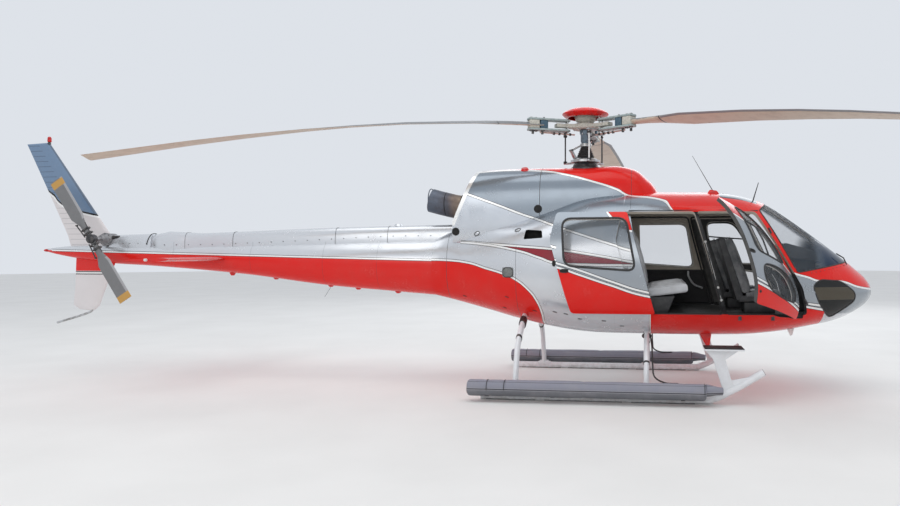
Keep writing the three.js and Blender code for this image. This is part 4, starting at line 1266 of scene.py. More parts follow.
ACROSS = (0, 1, 0)
upper = aerofoil([
    ((-6.18, 0, 1.56), (-7.0, 0, 1.56), 0.105), ((-6.46, 0, 1.88), (-7.085, 0, 1.85), 0.1),
    ((-6.815, 0, 2.37), (-7.345, 0, 2.39), 0.08), ((-7.362, 0, 3.122), (-7.7, 0, 3.105), 0.048)],
    ACROSS, [tail_paint])
lower = aerofoil([
    ((-6.35, 0, 1.56), (-6.96, 0, 1.59), 0.09), ((-6.505, 0, 1.18), (-6.975, 0, 1.18), 0.07),
    ((-6.615, 0, 0.9), (-7.0, 0, 0.905), 0.055), ((-6.7, 0, 0.832), (-6.9, 0, 0.85), 0.04)],
    ACROSS, [tail_paint], along=30)
finished(upper, "upper_fin_skin", "upper_fin")
tail_skid = [(-6.64, 0, 1.0), (-6.72, 0, 0.842), (-6.86, 0, 0.776), (-7.245, 0, 0.664)]
joined("lower_fin_skin", [lower, bar(spline(tail_skid, 6), 0.015, metal, sides=12)], "lower_fin")
print("fins and wing are in")

# %% [markdown]
# ## Tail gearbox and tail rotor
# The drive turns at the foot of the fin and leaves to starboard. The rotor is one springy spar with
# two blades, so there are no hinges: only a hub plate, two bands round each blade root, and the
# rods that twist the blades.

# %% Tail gearbox
DRIVE = Vector((-6.447, 0, 1.798))
STARBOARD = (0, -1, 0)


def slab(outline, span, material, soft=0.004, steps=2, axis="Y"):
    """A plate with soft edges. A span of one number reaches as far to both sides."""
    span = span if isinstance(span, tuple) else (-span, span)
    piece = prism(outline, span, axis, material=0)
    edge = piece.modifiers.new("edges", "BEVEL")
    edge.width, edge.segments, edge.limit_method = soft, steps, "ANGLE"
    piece.name = "slab"
    return keep_home(soft_edges(settle(piece, [material]), 50))


def rod(start, end, radius, material=dark_metal, sides=12):
    return bar([start, end], radius, material, sides=sides)


def turned_profile(profile, material, sides=40, axis=UP, centre=ORIGIN):
    """A profile of (radius, height) pairs spun round an axis."""
    shape = bmesh.new()
    verts = [shape.verts.new((r, 0, h)) for r, h in profile]
    edges = [shape.edges.new(pair) for pair in zip(verts, verts[1:])]
    bmesh.ops.spin(shape, geom=verts + edges, cent=ORIGIN, axis=UP, angle=2 * pi, steps=sides,
                   use_merge=True)
    bmesh.ops.remove_doubles(shape, verts=shape.verts, dist=1e-5)
    bmesh.ops.recalc_face_normals(shape, faces=shape.faces)
    bmesh.ops.transform(shape, matrix=facing(axis, centre), verts=shape.verts)
    return keep_home(soft_edges(hold("turned", shape, [material])))


# Heights here run to starboard from the boom's middle
case_metal = worn("gearbox_grey", (0.3, 0.3, 0.31), (0.16, 0.15, 0.15), 20, (0.3, 0.3), 0.6)
casing = [(0.0, -0.07), (0.07, -0.07), (0.08, -0.055), (0.08, 0.085), (0.086, 0.09), (0.086, 0.104),
          (0.07, 0.112), (0.058, 0.14), (0.055, 0.176), (0.044, 0.19), (0.032, 0.194), (0.032, 0.285),
          (0.0, 0.285)]
drive_parts = [turned_profile(casing, case_metal, axis=STARBOARD, centre=DRIVE)]
for turn in turns(8):
    place = DRIVE + Vector((cos(turn) * 0.078, -0.106, sin(turn) * 0.078))
    drive_parts.append(button(place, 0.006, 0.012, STARBOARD, 6))
drive_parts.append(slab(oblong((-6.46, -6.27), (-0.068, 0.068)), (1.702, 1.848), dark_metal, 0.016, 3, "Z"))
joined("tail_gearbox_case", drive_parts, "tail_gearbox")

# Columns: x, top, half width, squareness high
cover = Skin([(x, 1.5, top, half, 1.7, 6, square) for x, top, half, square in (
    (-5.802, 1.872, 0.094, 3.0), (-6.0, 1.866, 0.092, 2.8), (-6.29, 1.858, 0.084, 2.6),
    (-6.42, 1.85, 0.074, 2.4))], 40, 0.1)
trim = [cover.point(-5.806, a, 0.001) + Vector((-0.05 * (1 - sin(a)), 0, 0))
        for a in np.linspace(0.05, pi - 0.05, 30)]
cover_parts = [smooth_skin(cover), bar(trim, 0.006, sides=8)]
cover_parts += [button((x, side * (cover.half_at(x, 1.742) + 0.001), 1.742), 0.006, 0.005, (0, side, 0), 8)
                for side in BOTH for x in (-5.86, -5.98, -6.1, -6.2)]
joined("tail_gearbox_cover", cover_parts)

# %% Tail rotor
tail_blade = Finish("blade_grey", (0.2, 0.2, 0.205), 0.5)
where, *_ = tail_blade.place()
_, share, reach, _ = tail_blade.place("chord")
grime = tail_blade.noise(where, 14, 5, 0.6)
outboard = abs(reach - 0.93)
tone = tail_blade.mix(grime * 0.5, (0.2, 0.2, 0.205), (0.12, 0.12, 0.12))
tone = tail_blade.layers(tone, ((share < 0.16) * (outboard > 0.3), (0.34, 0.34, 0.35)),
                         (within(outboard, 0.84, 0.93), (0.52, 0.29, 0.07)))
tail_blade.set(base_color=tone, roughness=grime * 0.3 + 0.3)
tail_blade.bump(grime, 0.0006, 0.3)

TAIL_HUB = Vector((-6.447, -0.338, 1.798))
# Columns: distance from the hub, chord, thickness
TAIL_BLADE = [(-0.93, 0.19, 0.012), (-0.36, 0.19, 0.02), (-0.23, 0.09, 0.034), (-0.06, 0.08, 0.038),
              (0.06, 0.08, 0.038), (0.23, 0.09, 0.034), (0.36, 0.19, 0.02), (0.93, 0.19, 0.012)]
HUB_PLATE = [(0, -0.044), (0.05, -0.044), (0.06, -0.034), (0.06, 0.03), (0.044, 0.04), (0.03, 0.044),
             (0.0, 0.044)]
tail_parts = [aerofoil([((wide * 0.4, 0, r), (-wide * 0.6, 0, r), thick) for r, wide, thick in TAIL_BLADE],
                       ACROSS, [tail_blade.material], along=60, wrap=20, round_tips=False),
              turned_profile(HUB_PLATE, dark_metal, 24, STARBOARD)]
for end in (1, -1):
    tail_parts += [slab(oblong((-0.052, 0.052), (end * r - 0.012, end * r + 0.012)), 0.026, dark_metal)
                   for r in (0.085, 0.15)]
    tail_parts += [rod((-0.048, -0.03, end * 0.055), (-0.075, -0.022, end * 0.255), 0.008),
                   rod((0.048, -0.03, end * 0.055), (0.052, -0.022, end * 0.23), 0.006),
                   button((-0.072, -0.018, end * 0.25), 0.013, 0.024, STARBOARD, 8),
                   button((0, -0.026, end * 0.1), 0.009, 0.016, STARBOARD, 6, metal)]


def moved(pieces, matrix):
    """Carries meshes to their place, while their objects stay at the origin."""
    for piece in pieces:
        piece.data.transform(matrix)
        piece.data.update()
        keep_home(piece)
    return pieces


lean = Matrix.Translation(TAIL_HUB) @ Matrix.Rotation(-radians(32.5), 4, "Y")
joined("tail_rotor_blades", moved(tail_parts, lean), "tail_rotor", "tail_rotor_body")
print("tail rotor pieces:", len(tail_parts))

# %% [markdown]
# ## Main rotor
# Everything at a blade is made once, for a blade that points along X, and then carried round to the
# three angles. Each blade droops by its own amount, as they do when parked. The centre is a plate
# of composite with three arms. Two flat sleeves grip each blade, above and below its arm, and the
# blade's pull is carried by the block between arm and sleeves.

# %% Rotor materials
composite = worn("composite", (0.56, 0.54, 0.47), (0.34, 0.32, 0.28), 60, (0.35, 0.3))
blue_block = worn("blue_block", (0.035, 0.085, 0.13), (0.08, 0.14, 0.18), 30)
sleeve_paint = worn("sleeve_paint", (0.36, 0.42, 0.41), (0.2, 0.25, 0.26), 24)
rod_paint = worn("rod_paint", (0.6, 0.42, 0.37), (0.32, 0.2, 0.17), 30)
white_rod = worn("white_rod", (0.8, 0.8, 0.79), (0.55, 0.54, 0.52), 40)
cap_paint = worn("cap_paint", RED, (0.45, 0.02, 0.02), 16, (0.15, 0.25))
mast_paint = worn("mast_paint", (0.15, 0.21, 0.26), (0.06, 0.08, 0.1), 20, (0.3, 0.3), 0.3)

blade_paint = Finish("main_blade", (0.3, 0.3, 0.3), 0.5)
where, *_ = blade_paint.place("home")
_, share, reach, upper = blade_paint.place("chord")
grime, streak = blade_paint.noise(where, 9, 6, 0.62), blade_paint.noise(where, 60, 2)
outer = reach > 0.6
# the top is dark grey; the underside is painted pale and warm, a painted reflection of the pale ground below
tone = blade_paint.mix(upper > 0.5, (0.6, 0.49, 0.39), (0.17, 0.175, 0.185))
tone = blade_paint.layers(
    tone, (grime.rise(0.45, 0.75) * 0.2, (0.14, 0.12, 0.11)), ((share < 0.09) * outer, (0.26, 0.26, 0.27)),
    (within(share, 0.088, 0.094) * outer, (0.05, 0.05, 0.05)),
    (within(reach, 0.57, 0.59), (0.06, 0.06, 0.065)),
    (within(share, 0.93, 0.935) * outer, (0.08, 0.08, 0.08)))
blade_paint.set(base_color=tone, roughness=grime * 0.3 + streak * 0.1 + 0.25)
blade_paint.bump(grime, 0.0015, 0.2)

# %% Rotor pieces
ROTOR_Z, ROTOR_RADIUS, CHORD = 3.18, 5.345, 0.35
# Columns: angle from the nose towards port, how far the tip hangs, how far the inner half bows up
BLADES = [(206, 0.59, 0.024), (325, 0.65, 0.0), (85, 0.61, 0.0)]
# Columns: radius, chord, thickness, pitch in degrees with the leading edge up
BLADE_STATIONS = [
    (0.56, 0.118, 0.058, 16), (0.9, 0.135, 0.056, 16), (1.08, 0.172, 0.052, 16), (1.25, 0.25, 0.044, 15),
    (1.43, CHORD, 0.034, 13), (2.2, CHORD, 0.033, 11), (2.8, CHORD, 0.032, 8.5), (3.3, CHORD, 0.032, 5.2),
    (3.9, CHORD, 0.032, 2.4), (4.4, CHORD, 0.031, 0.8), (ROTOR_RADIUS, CHORD, 0.028, -2)]
BOW_LENGTH = 3.5
SLEEVE_OPEN, SLEEVE_TOP, ROD_Y = 0.05, 0.074, 0.02
HORN = (0.205, -0.175)


def round_to(pieces, angle, z=ROTOR_Z):
    """Carries pieces made along X round to an angle, at a height."""
    return moved(pieces, Matrix.Translation((0, 0, z)) @ Matrix.Rotation(radians(angle), 4, "Z"))


def mirrored(line):
    """A line, and then its mirror image across X, back to the start."""
    return [*line, *((x, -y) for x, y in reversed(line))]


for number, (angle, droop, bow) in enumerate(BLADES, 1):
    line = []
    for r, wide, thick, pitch in BLADE_STATIONS:
        z = bow * sin(pi * r / BOW_LENGTH) - droop * (r / ROTOR_RADIUS) ** 2
        along, lift = wide * cos(radians(pitch)), wide * sin(radians(pitch))
        line.append(((r, -along * 0.35, z + lift * 0.35), (r, along * 0.65, z - lift * 0.65), thick))
    plate = rounded(mirrored([(0.212, -0.05), (0.3, -0.072), (0.745, -0.062)]), 0.02)
    parts = [aerofoil(line, UP, [blade_paint.material], along=70, wrap=32),
             slab(plate, (SLEEVE_OPEN, SLEEVE_TOP), sleeve_paint, axis="Z"),
             slab(plate, (-SLEEVE_TOP, -SLEEVE_OPEN), sleeve_paint, axis="Z")]
    parts += [slab(oblong(reach, (-0.06, 0.06)), SLEEVE_OPEN, material, 0.008, axis="Z")
              for reach, material in (((0.505, 0.6), blue_block), ((0.612, 0.735), composite))]
    for r, y in ((0.645, 0.0), (0.705, 0.0), (0.552, 0.035), (0.552, -0.035), (0.245, 0.03), (0.245, -0.03)):
        radius = 0.02 if y == 0 else 0.011
        parts.append(rod((r, y, -SLEEVE_TOP - 0.016), (r, y, SLEEVE_TOP + 0.016), radius * 0.8, metal, 8))
        parts += [button((r, y, end * SLEEVE_TOP), radius * 1.5, 0.012, (0, 0, end), 8) for end in (1, -1)]
    horn = rounded(((0.185, -0.205), (0.228, -0.205), (0.262, -0.06), (0.212, -0.06)), 0.01)
    parts.append(slab(horn, (-SLEEVE_TOP, -SLEEVE_OPEN), metal, axis="Z"))
    # the weighted rods that hang below the sleeve and damp its shaking
    parts.append(rod((0.15, ROD_Y, -0.105), (0.6, ROD_Y, -0.096), 0.01, rod_paint))
    parts += [rod((r, ROD_Y, -0.104), (r + 0.022, ROD_Y, -0.103), 0.017, sides=10)
              for r in (0.2, 0.27, 0.34, 0.41)]
    parts += [rod((r, ROD_Y, -0.12), (r, ROD_Y, -SLEEVE_OPEN), 0.016, sides=10) for r in (0.57, 0.69)]
    joined(f"main_blade_fitted_{number}", round_to(parts, angle), f"main_blade_{number}",
           "main_rotor")

disc = [(0, -0.031), (0.155, -0.031), (0.165, -0.022), (0.165, 0.022), (0.155, 0.031), (0, 0.031)]
star = [turned_profile(disc, composite, 48, centre=(0, 0, ROTOR_Z))]
arm = mirrored([(0.0, -0.105), (0.13, -0.095), (0.2, -0.06), (0.3, -0.042), (0.392, -0.052)])
for angle, *_ in BLADES:
    bolts = [button((0.118, step, end * 0.03), 0.013, 0.016, (0, 0, end), 6, metal)
             for step in (-0.075, 0.075) for end in (1, -1)]
    star += round_to([slab(arm, 0.023, composite, 0.006, axis="Z"), *bolts], angle)
joined("rotor_star_plate", star, "rotor_star", "main_rotor")
print("main rotor: sleeves and star are in")

# %% [markdown]
# ## Cap, mast and swashplates
# The cap is a thin painted dish over the hub, open below, on a drum of fibre. Below the star come
# the mast, a pleated rubber boot and two rings, one fixed and one turning. A rod goes up from the
# turning ring to each sleeve, and a scissor link makes the ring turn with the mast.

# %% Cap, mast and swashplates
CAP_Z = 3.295
dish = [(0.0, 0.118), (0.09, 0.115), (0.19, 0.1), (0.262, 0.069), (0.289, 0.048), (0.29, 0.04),
        (0.262, 0.012), (0.225, -0.004), (0.214, -0.002), (0.248, 0.022), (0.268, 0.044), (0.188, 0.084),
        (0.09, 0.099), (0.0, 0.102)]
drum_profile = [(0.0, -0.078), (0.09, -0.078), (0.1, -0.06), (0.128, -0.03), (0.132, 0.06),
                (0.11, 0.094), (0.0, 0.096)]
cap_parts = [turned_profile(dish, cap_paint, 64, centre=(0, 0, CAP_Z)),
             turned_profile(drum_profile, composite, 32, centre=(0, 0, CAP_Z))]
for angle in range(15, 375, 60):
    spoke = slab(oblong((0.06, 0.215), (-0.011, 0.011)), (0.02, 0.066), composite, axis="Z")
    cap_parts += round_to([spoke], angle, CAP_Z)
joined("rotor_cap_dish", cap_parts, "rotor_cap", "main_rotor")

column = [(0.0, 2.482), (0.052, 2.482), (0.052, 2.99), (0.06, 3.0), (0.06, 3.09), (0.072, 3.105),
          (0.072, 3.14), (0.052, 3.148), (0, 3.148)]
boot = [(0.052, 2.8)] + [(0.11 - 0.052 * i / 12 + (0.006 if i % 2 else -0.006), 2.802 + 0.13 * i / 12)
                          for i in range(13)] + [(0.052, 2.938)]
mast_parts = [turned_profile(column, mast_paint, 32), turned_profile(boot, rubber.material)]
mast_parts += [button((cos(turn) * 0.064, sin(turn) * 0.064, 3.1), 0.008, 0.02, (0, 0, -1), 6, metal)
               for turn in turns(6)]
joined("rotor_mast_column", mast_parts, "rotor_mast", "main_rotor")

fixed_ring = [(0.06, 2.562), (0.15, 2.562), (0.172, 2.58), (0.186, 2.64), (0.186, 2.668), (0.16, 2.684),
              (0.15, 2.712), (0.06, 2.712), (0.06, 2.562)]
joined("swashplate_low", [turned_profile(fixed_ring, dark_metal, 48)], "swashplate_fixed")

turning_ring = [(0.056, 2.727), (0.165, 2.727), (0.184, 2.738), (0.184, 2.766), (0.15, 2.776), (0.14, 2.784),
                (0.056, 2.784), (0.056, 2.727)]
ring_horn = [(0.11, -0.07), (0.225, -0.19), (0.205, -0.195), (0.185, -0.19), (0.1, -0.1)]
ring_parts = [turned_profile(turning_ring, metal, 48)]
x, y = HORN
low, high = 2.74 - ROTOR_Z, -SLEEVE_TOP - 0.004
for tone, (angle, *_) in zip((dark_metal, white_rod, dark_metal), BLADES):
    link = [rod((x, y, low), (x, y, high), 0.0095, tone),
            slab(ring_horn, (2.728 - ROTOR_Z, 2.752 - ROTOR_Z), metal, axis="Z")]
    link += [rod((x - 0.02, y, z), (x + 0.02, y, z), 0.016, sides=10) for z in (low + 0.012, high - 0.02)]
    ring_parts += round_to(link, angle)
joined("swashplate_high", ring_parts, "swashplate_turning", "main_rotor")

knee = Vector((0.205, 0, 2.88))
scissor = [slab([(0.13, 2.784), (0.16, 2.776), (0.218, 2.876), (0.2, 2.892)], 0.026, metal),
           slab([(0.056, 2.965), (0.06, 2.94), (0.196, 2.868), (0.214, 2.888)], 0.022, metal),
           rod(knee - Vector((0, 0.034, 0)), knee + Vector((0, 0.034, 0)), 0.012),
           turned_profile([(0.052, 2.935), (0.068, 2.938), (0.068, 2.972), (0.052, 2.975), (0.052, 2.935)],
                          metal, 32)]
joined("scissor_link", round_to(scissor, 215, 0), body="main_rotor")
print("swashplates are in")

# %% [markdown]
# ## Landing gear
# Two bowed cross tubes carry two skids, and they spread a little when the machine lands. The tubes
# are flattened so that they bend up and down but not fore and aft. Shoes bolt them to the skids.
# Wear strips under the skids touch the ground. The emergency floats lie packed along the skids.

# %% Gear paint and cross tubes
gear_paint = Finish("gear_paint", (0.78, 0.79, 0.81), 0.35)
where, *_, z = gear_paint.place()
grime = gear_paint.noise(where, 12, 5, 0.65)
low = ((0.09 - z) * 5).highest(0.0).lowest(0.6)
gear_paint.set(base_color=gear_paint.mix(grime.rise(0.35, 0.7) * (low + 0.1), (0.78, 0.79, 0.81),
                                         (0.3, 0.27, 0.24)),
               roughness=grime * 0.3 + 0.2)
gear_paint.bump(gear_paint.noise(where, 30, 3), 0.001, 0.15)
gear_paint = gear_paint.material
tread_rubber = worn("tread_rubber", (0.016, 0.016, 0.018), (0.05, 0.05, 0.05), 40, (0.6, 0.3), grain=120)

SKID_Y = 1.113
# Columns: x, height at the middle, half of the flat part, where the clamps sit, the solid's name
CROSS_TUBES = {"front": (0.762, 0.69, 0.42, (0.22, 0.6), "belly_front_tube"),
               "rear": (-0.684, 0.9, 0.3, (0.3, 0.72), "body_rear_tube")}
for word, (x, z, flat, clamps, solid) in CROSS_TUBES.items():
    half = [(x, flat, z), (x, flat + 0.24, z - 0.075), (x, (flat + 1.093) / 2 + 0.225, z * 0.62),
            (x, 1.093, 0.108)]
    line = spline([(px, -y, height) for px, y, height in half[::-1]] + [(x, 0, z)] + half, 12)
    parts = [bar(line, 0.0525, gear_paint, sides=20, flat=0.59)]
    for side in BOTH:
        for share in clamps:
            step = round(len(line) * share * 0.5)
            i = step if side < 0 else len(line) - 1 - step
            near = [line[i] + (line[i + 1] - line[i]) * t for t in (-0.35, 0.35)]
            parts.append(bar(near, 0.057, dark_metal, sides=16, flat=0.63))
    # where the rear tube leaves the body it is held in a dark rubber-lined shoe
    for a, b in zip(line, line[1:]) if word == "rear" else ():
        if 0.56 < abs(a.y) < 0.64:
            parts.append(bar([a, b], 0.062, dark_metal, sides=16, flat=0.7))
    joined(f"cross_tube_{word}", parts, solid)

# %% Skids and steps
RAIL_LINE = [(-1.06, 0.042), (0.1, 0.042), (1.31, 0.044), (1.48, 0.063), (1.7, 0.17), (2.0, 0.35)]
# Plates that run along the skid: outline, how far they reach inboard and outboard, finish, edge
SKID_PLATES = [(oblong((start, end), (0.001, 0.01)), (-0.022, 0.022), dark_metal, 0.002)
               for start, end in ((-1.0, -0.45), (-0.35, 0.5), (0.6, 1.28))]
SADDLE = [(-0.095, 0.05), (0.095, 0.05), (0.085, 0.092), (0.04, 0.106), (-0.04, 0.106), (-0.085, 0.092)]
STEP_PLATES = [(oblong((x - 0.024, x + 0.024), (0.043, 0.061)), (0.0, 0.08), dark_metal, 0.003)
               for x in (-0.98, -0.25, 1.15)]
STEP_PLATES += [
    ([(1.59, 0.095), (1.7, 0.135), (1.6, 0.48), (1.76, 0.589), (1.376, 0.589), (1.47, 0.48)],
     (-0.018, 0.018), gear_paint, 0.007, 3),
    ([(1.69, 0.15), (1.93, 0.3), (1.9, 0.31), (1.66, 0.262)], (-0.012, 0.012), gear_paint),
    (oblong((1.371, 1.789), (0.588, 0.604)), (-0.164, 0.139), gear_paint),
    (oblong((1.375, 1.785), (0.602, 0.611)), (-0.16, 0.135), tread_rubber, 0.002, 1)]


def skid_plates(plates, side):
    return [slab(outline, tuple(sorted(side * (SKID_Y + y) for y in reach)), *more)
            for outline, reach, *more in plates]


for word, side in SIDES.items():
    line = spline([(x, side * (SKID_Y - max(0, x - 1.4) * 0.025), z) for x, z in RAIL_LINE], 8)
    plug = [line[-1], line[-1] + (line[-1] - line[-2]).normalized() * 0.004]
    parts = [bar(line, 0.041, gear_paint, sides=24), bar(plug, 0.036, sides=24),
             *skid_plates(SKID_PLATES, side)]
    for x, *_ in CROSS_TUBES.values():
        saddle = rounded([(x + step, z) for step, z in SADDLE], 0.01)
        parts += skid_plates([(saddle, (-0.043, 0.043), gear_paint, 0.006)], side)
        for step in (-0.072, 0.072):
            parts += [button((x + step, side * (SKID_Y + 0.043), 0.07), 0.01, 0.012, (0, side, 0), 6),
                      button((x + step, side * SKID_Y, 0.094), 0.012, 0.014, UP, 6)]
    parts += skid_plates(STEP_PLATES, side)
    parts.append(rod((1.395, side * (SKID_Y - 0.1), 0.58), (1.56, side * SKID_Y, 0.44), 0.01, gear_paint))
    joined(f"skid_fitted_{word}", parts, f"skid_{word}")
print("gear is in")

# %% [markdown]
# ## Packed floats
# Each float is folded into a long sleeve of coated cloth, laced shut along its middle. It is soft,
# so its surface is a spun tube whose points are then pushed in and out by smooth noise, with flats
# between the straps. A cloth run would wrinkle a loose sheet, but here the tight pack under the
# cloth gives the shape.

# %% Float covers
FLOAT = {"y": 1.251, "z": 0.15, "radius": 0.0905, "from": -1.18, "to": 1.394}
STRAPS = (-0.953, -0.762, 0.1, 1.15)
SEAM_Z = 0.149

cloth = Finish("float_cloth", (0.2, 0.19, 0.22), 0.75)
where, x, _, z = cloth.place()
weave = (x.part(0.0045) + z.part(0.0045)) * 70
wear = cloth.noise(where, 5, 5, 0.6)
seam = abs(z - SEAM_Z) < 0.0035
stitch = (abs(abs(z - SEAM_Z) - 0.01) < 0.0012) * (x.part(0.012) > 0.004)
# the upper half is painted lighter and bluer and the lower half darker: painted skylight above and painted
# shade below, on one cloth
tone = cloth.mix(z < 0.147, (0.27, 0.275, 0.33), (0.165, 0.17, 0.19))
tone = cloth.layers(tone, (wear.rise(0.4, 0.75) * 0.35, (0.36, 0.35, 0.37)),
                    (seam.highest(abs(z - 0.222) < 0.0012), (0.035, 0.033, 0.04)),
                    (stitch, (0.45, 0.44, 0.45)))
cloth.set(base_color=tone, roughness=wear * 0.25 + 0.55)
cloth.bump(weave + wear - seam * 2 + stitch, 0.0012, 0.35)


def cloth_sleeve(side):
    """A packed sleeve: a little fuller between its straps, with slow folds along it."""
    length = FLOAT["to"] - FLOAT["from"]
    profile = [(0.0, 0.0), (0.05, 0.001), (0.074, 0.006), (0.086, 0.018)]
    for h in np.linspace(0.035, length - 0.035, 110):
        near = min(abs(FLOAT["from"] + h - strap) for strap in STRAPS)
        profile.append((FLOAT["radius"] - 0.004 * max(0, 1 - near / 0.05), float(h)))
    profile += [(0.084, length - 0.018), (0.072, length - 0.006), (0.048, length - 0.001), (0.0, length)]
    start = Vector((FLOAT["from"], side * FLOAT["y"], FLOAT["z"]))
    sleeve = turned_profile(profile, cloth.material, 48, (1, 0, 0), start)
    for vert in sleeve.data.vertices:
        place = vert.co
        reach = hypot(place.y - start.y, place.z - start.z)
        if reach > 0.06:
            angle = atan2(place.z - start.z, place.y - start.y)
            ring = Vector((cos(angle) * 0.7, sin(angle) * 0.7, 0))
            fold = noise.noise(ring * 1.4 + Vector((0, 0, place.x * 2.6 + side * 9))) * 0.0055
            fold += noise.noise(ring * 4 + Vector((0, 0, place.x * 13))) * 0.0014
            fold -= 0.0035 * max(0, 1 - abs(place.z - SEAM_Z) / 0.01)
            place.y = start.y + (place.y - start.y) * (1 + (fold - 0.002) / reach)
            place.z = start.z + (place.z - start.z) * (1 + (fold - 0.002) / reach)
    return sleeve


for word, side in SIDES.items():
    parts = [cloth_sleeve(side)]
    for x in (*STRAPS[:2], 1.37):
        lace = [Vector((x, side * FLOAT["y"] + cos(a) * 0.0885, FLOAT["z"] + sin(a) * 0.0885))
                for a in np.linspace(-0.1, pi + 0.1, 22)]
        parts.append(bar(lace, 0.0035))
    nose = [(1.385, side * 1.245, 0.17), (1.46, side * 1.238, 0.168), (1.56, side * 1.22, 0.16)]
    parts.append(bar(nose, 0.05, cloth.material, sides=20, tips=(0.066, 0.04), fine=2))
    joined(f"float_cover_{word}", parts, f"float_{word}")
print("floats are in, each", round(FLOAT["to"] - FLOAT["from"], 3), "m long")

# %% [markdown]
# ## Seats
# Two front seats and a bench across the rear, foam under stitched leather. Each cushion is a closed
# crowned form: a block subdivided smooth, higher in its middle, with channels pressed in where the
# cover is sewn through. Piping runs round the edges. A cloth run over a block of foam ends in nearly
# this form, but its folds would not follow the sewn channels.

# %% Seat leather
leather = worn("seat_leather", (0.045, 0.048, 0.052), (0.17, 0.17, 0.175), 6, (0.28, 0.3), grain=170)
pale_leather = worn("bench_leather", (0.5, 0.51, 0.53), (0.3, 0.3, 0.3), 5, (0.28, 0.3), grain=150)
shell = worn("seat_shell", (0.016, 0.016, 0.018), (0.05, 0.05, 0.05), 12, (0.4, 0.3), grain=240)
webbing = worn("webbing", (0.025, 0.025, 0.03), (0.07, 0.07, 0.075), 40, (0.6, 0.2), grain=900)
piping_cord = worn("piping", (0.16, 0.155, 0.15), (0.08, 0.08, 0.08), 30, (0.4, 0.2))


def slope_of(low, high):
    """A cushion's face from low to high (x, z): its two ends and the way out of it."""
    low, high = Vector((low[0], 0, low[1])), Vector((high[0], 0, high[1]))
    return low, high, Vector(ACROSS).cross(high - low).normalized()


def cushion(low, high, thick, width, channels, material, levels=1):
    """A cushion with its bolsters and sewn channels."""
    low, high, face = slope_of(low, high)
    shape = bmesh.new()
    bmesh.ops.create_cube(shape, size=1.0)
    bmesh.ops.subdivide_edges(shape, edges=shape.edges, cuts=27, use_grid_fill=True)
    for vert in shape.verts:
        u, v, w = vert.co.x * 2, vert.co.y * 2, vert.co.z + 0.5
        edge = (abs(u) ** 8 + abs(v) ** 8) ** (1 / 8)
        round_off = max(0, 1 - edge**6) ** 0.5 if edge < 1 else 0
        sewn = max([max(0, 1 - abs(u - c) / 0.05) for c in channels] + [0]) * (abs(v) < 0.66)
        sewn = max(sewn, max(0, 1 - abs(abs(v) - 0.66) / 0.045) * (abs(u) < 0.93))
        bolster = 0.026 * max(0, (abs(v) - 0.7) / 0.3) * (1 - max(0, (abs(v) - 0.9) / 0.1))
        lift = 0.018 * (1 - u * u) * (1 - v * v) + bolster - 0.009 * sewn**1.5
        inset = 1 - 0.11 * abs(w * 2 - 1) ** 4
        depth = -thick * (1 - w) if w < 0.999 else lift * round_off
        if w >= 0.999 and edge >= 0.999:
            depth = -0.01
        vert.co = (low + (high - low) * (u * inset + 1) / 2 + Vector(ACROSS) * (v * inset * width / 2)
                   + face * depth)
    bmesh.ops.recalc_face_normals(shape, faces=shape.faces)
    piece = hold("cushion", shape, [material])
    smooth = piece.modifiers.new("smooth", "SUBSURF")
    smooth.levels = smooth.render_levels = levels
    return soft_edges(settle(piece), 60)


def piping(low, high, width, material, lift=0.004, side_in=0.01):
    """The sewn cord that runs round a cushion's face."""
    low, high, face = slope_of(low, high)
    inset, half = (high - low).normalized() * side_in, Vector((0, width / 2 - side_in, 0))
    corners = [low + inset - half, low + inset + half, high - inset + half, high - inset - half]
    line = []
    for i, corner in enumerate(corners):
        for other in (corners[i - 1], corners[(i + 1) % 4]):
            line.append(corner + (other - corner).normalized() * 0.05 - face * lift)
    return bar(line, 0.0045, material, closed=True, fine=2)


PORT_SEAT_BACK, SEAT_Y = 0.11, 0.385
SEAT_BASE = [(1.87, 0.931), (2.21, 0.931), (2.19, 1.06), (1.86, 1.06)]
SEAT_SHELL = [(1.78, 1.065), (1.86, 1.1), (1.645, 1.79), (1.585, 1.79), (1.572, 1.75)]
SEAT_TRAY = [(1.8, 1.06), (2.25, 1.085), (2.262, 1.15), (1.83, 1.13)]
# Columns: low end, high end, thickness, width, where its channels are sewn
SEAT_PADS = [((2.262, 1.195), (1.88, 1.175), 0.07, 0.44, (-0.35, 0.1, 0.55)),
             ((1.945, 1.185), (1.727, 1.792), 0.11, 0.43, (-0.7, -0.4, -0.1, 0.2, 0.5))]
BELT = [(1.923, 0.13, 1.28), (1.878, 0.125, 1.42), (1.813, 0.115, 1.58), (1.75, 0.1, 1.72),
        (1.708, 0.08, 1.8)]

for word, side in SIDES.items():
    shift = Matrix.Translation((-PORT_SEAT_BACK if side > 0 else 0, side * SEAT_Y, 0))
    parts = [slab(SEAT_BASE, 0.18, shell, 0.012), slab(rounded(SEAT_SHELL, 0.02), 0.212, shell, 0.022, 3),
             slab(rounded(SEAT_TRAY, 0.02), 0.215, shell, 0.012, 3)]
    pads = [cushion(*pad, leather) for pad in SEAT_PADS]
    pads += [piping(low, high, width, piping_cord) for low, high, _, width, _ in SEAT_PADS]
    pads += [bar([(x, y * mirror, z) for x, y, z in BELT], 0.022, webbing, sides=8, flat=0.1, fine=2)
             for mirror in (1, -1)]
    joined(f"front_seat_frame_{word}", moved(parts, shift))
    seat = joined(f"front_seat_cushions_{word}", moved(pads, shift), f"front_seat_{word}")
print("front seats are in")

# %% [markdown]
# ## Rear bench
# One bench for four people: seat and back in four places each, so the sewn lines fall where the
# people part. Its pale cover is lighter than the front seats, as in the picture.

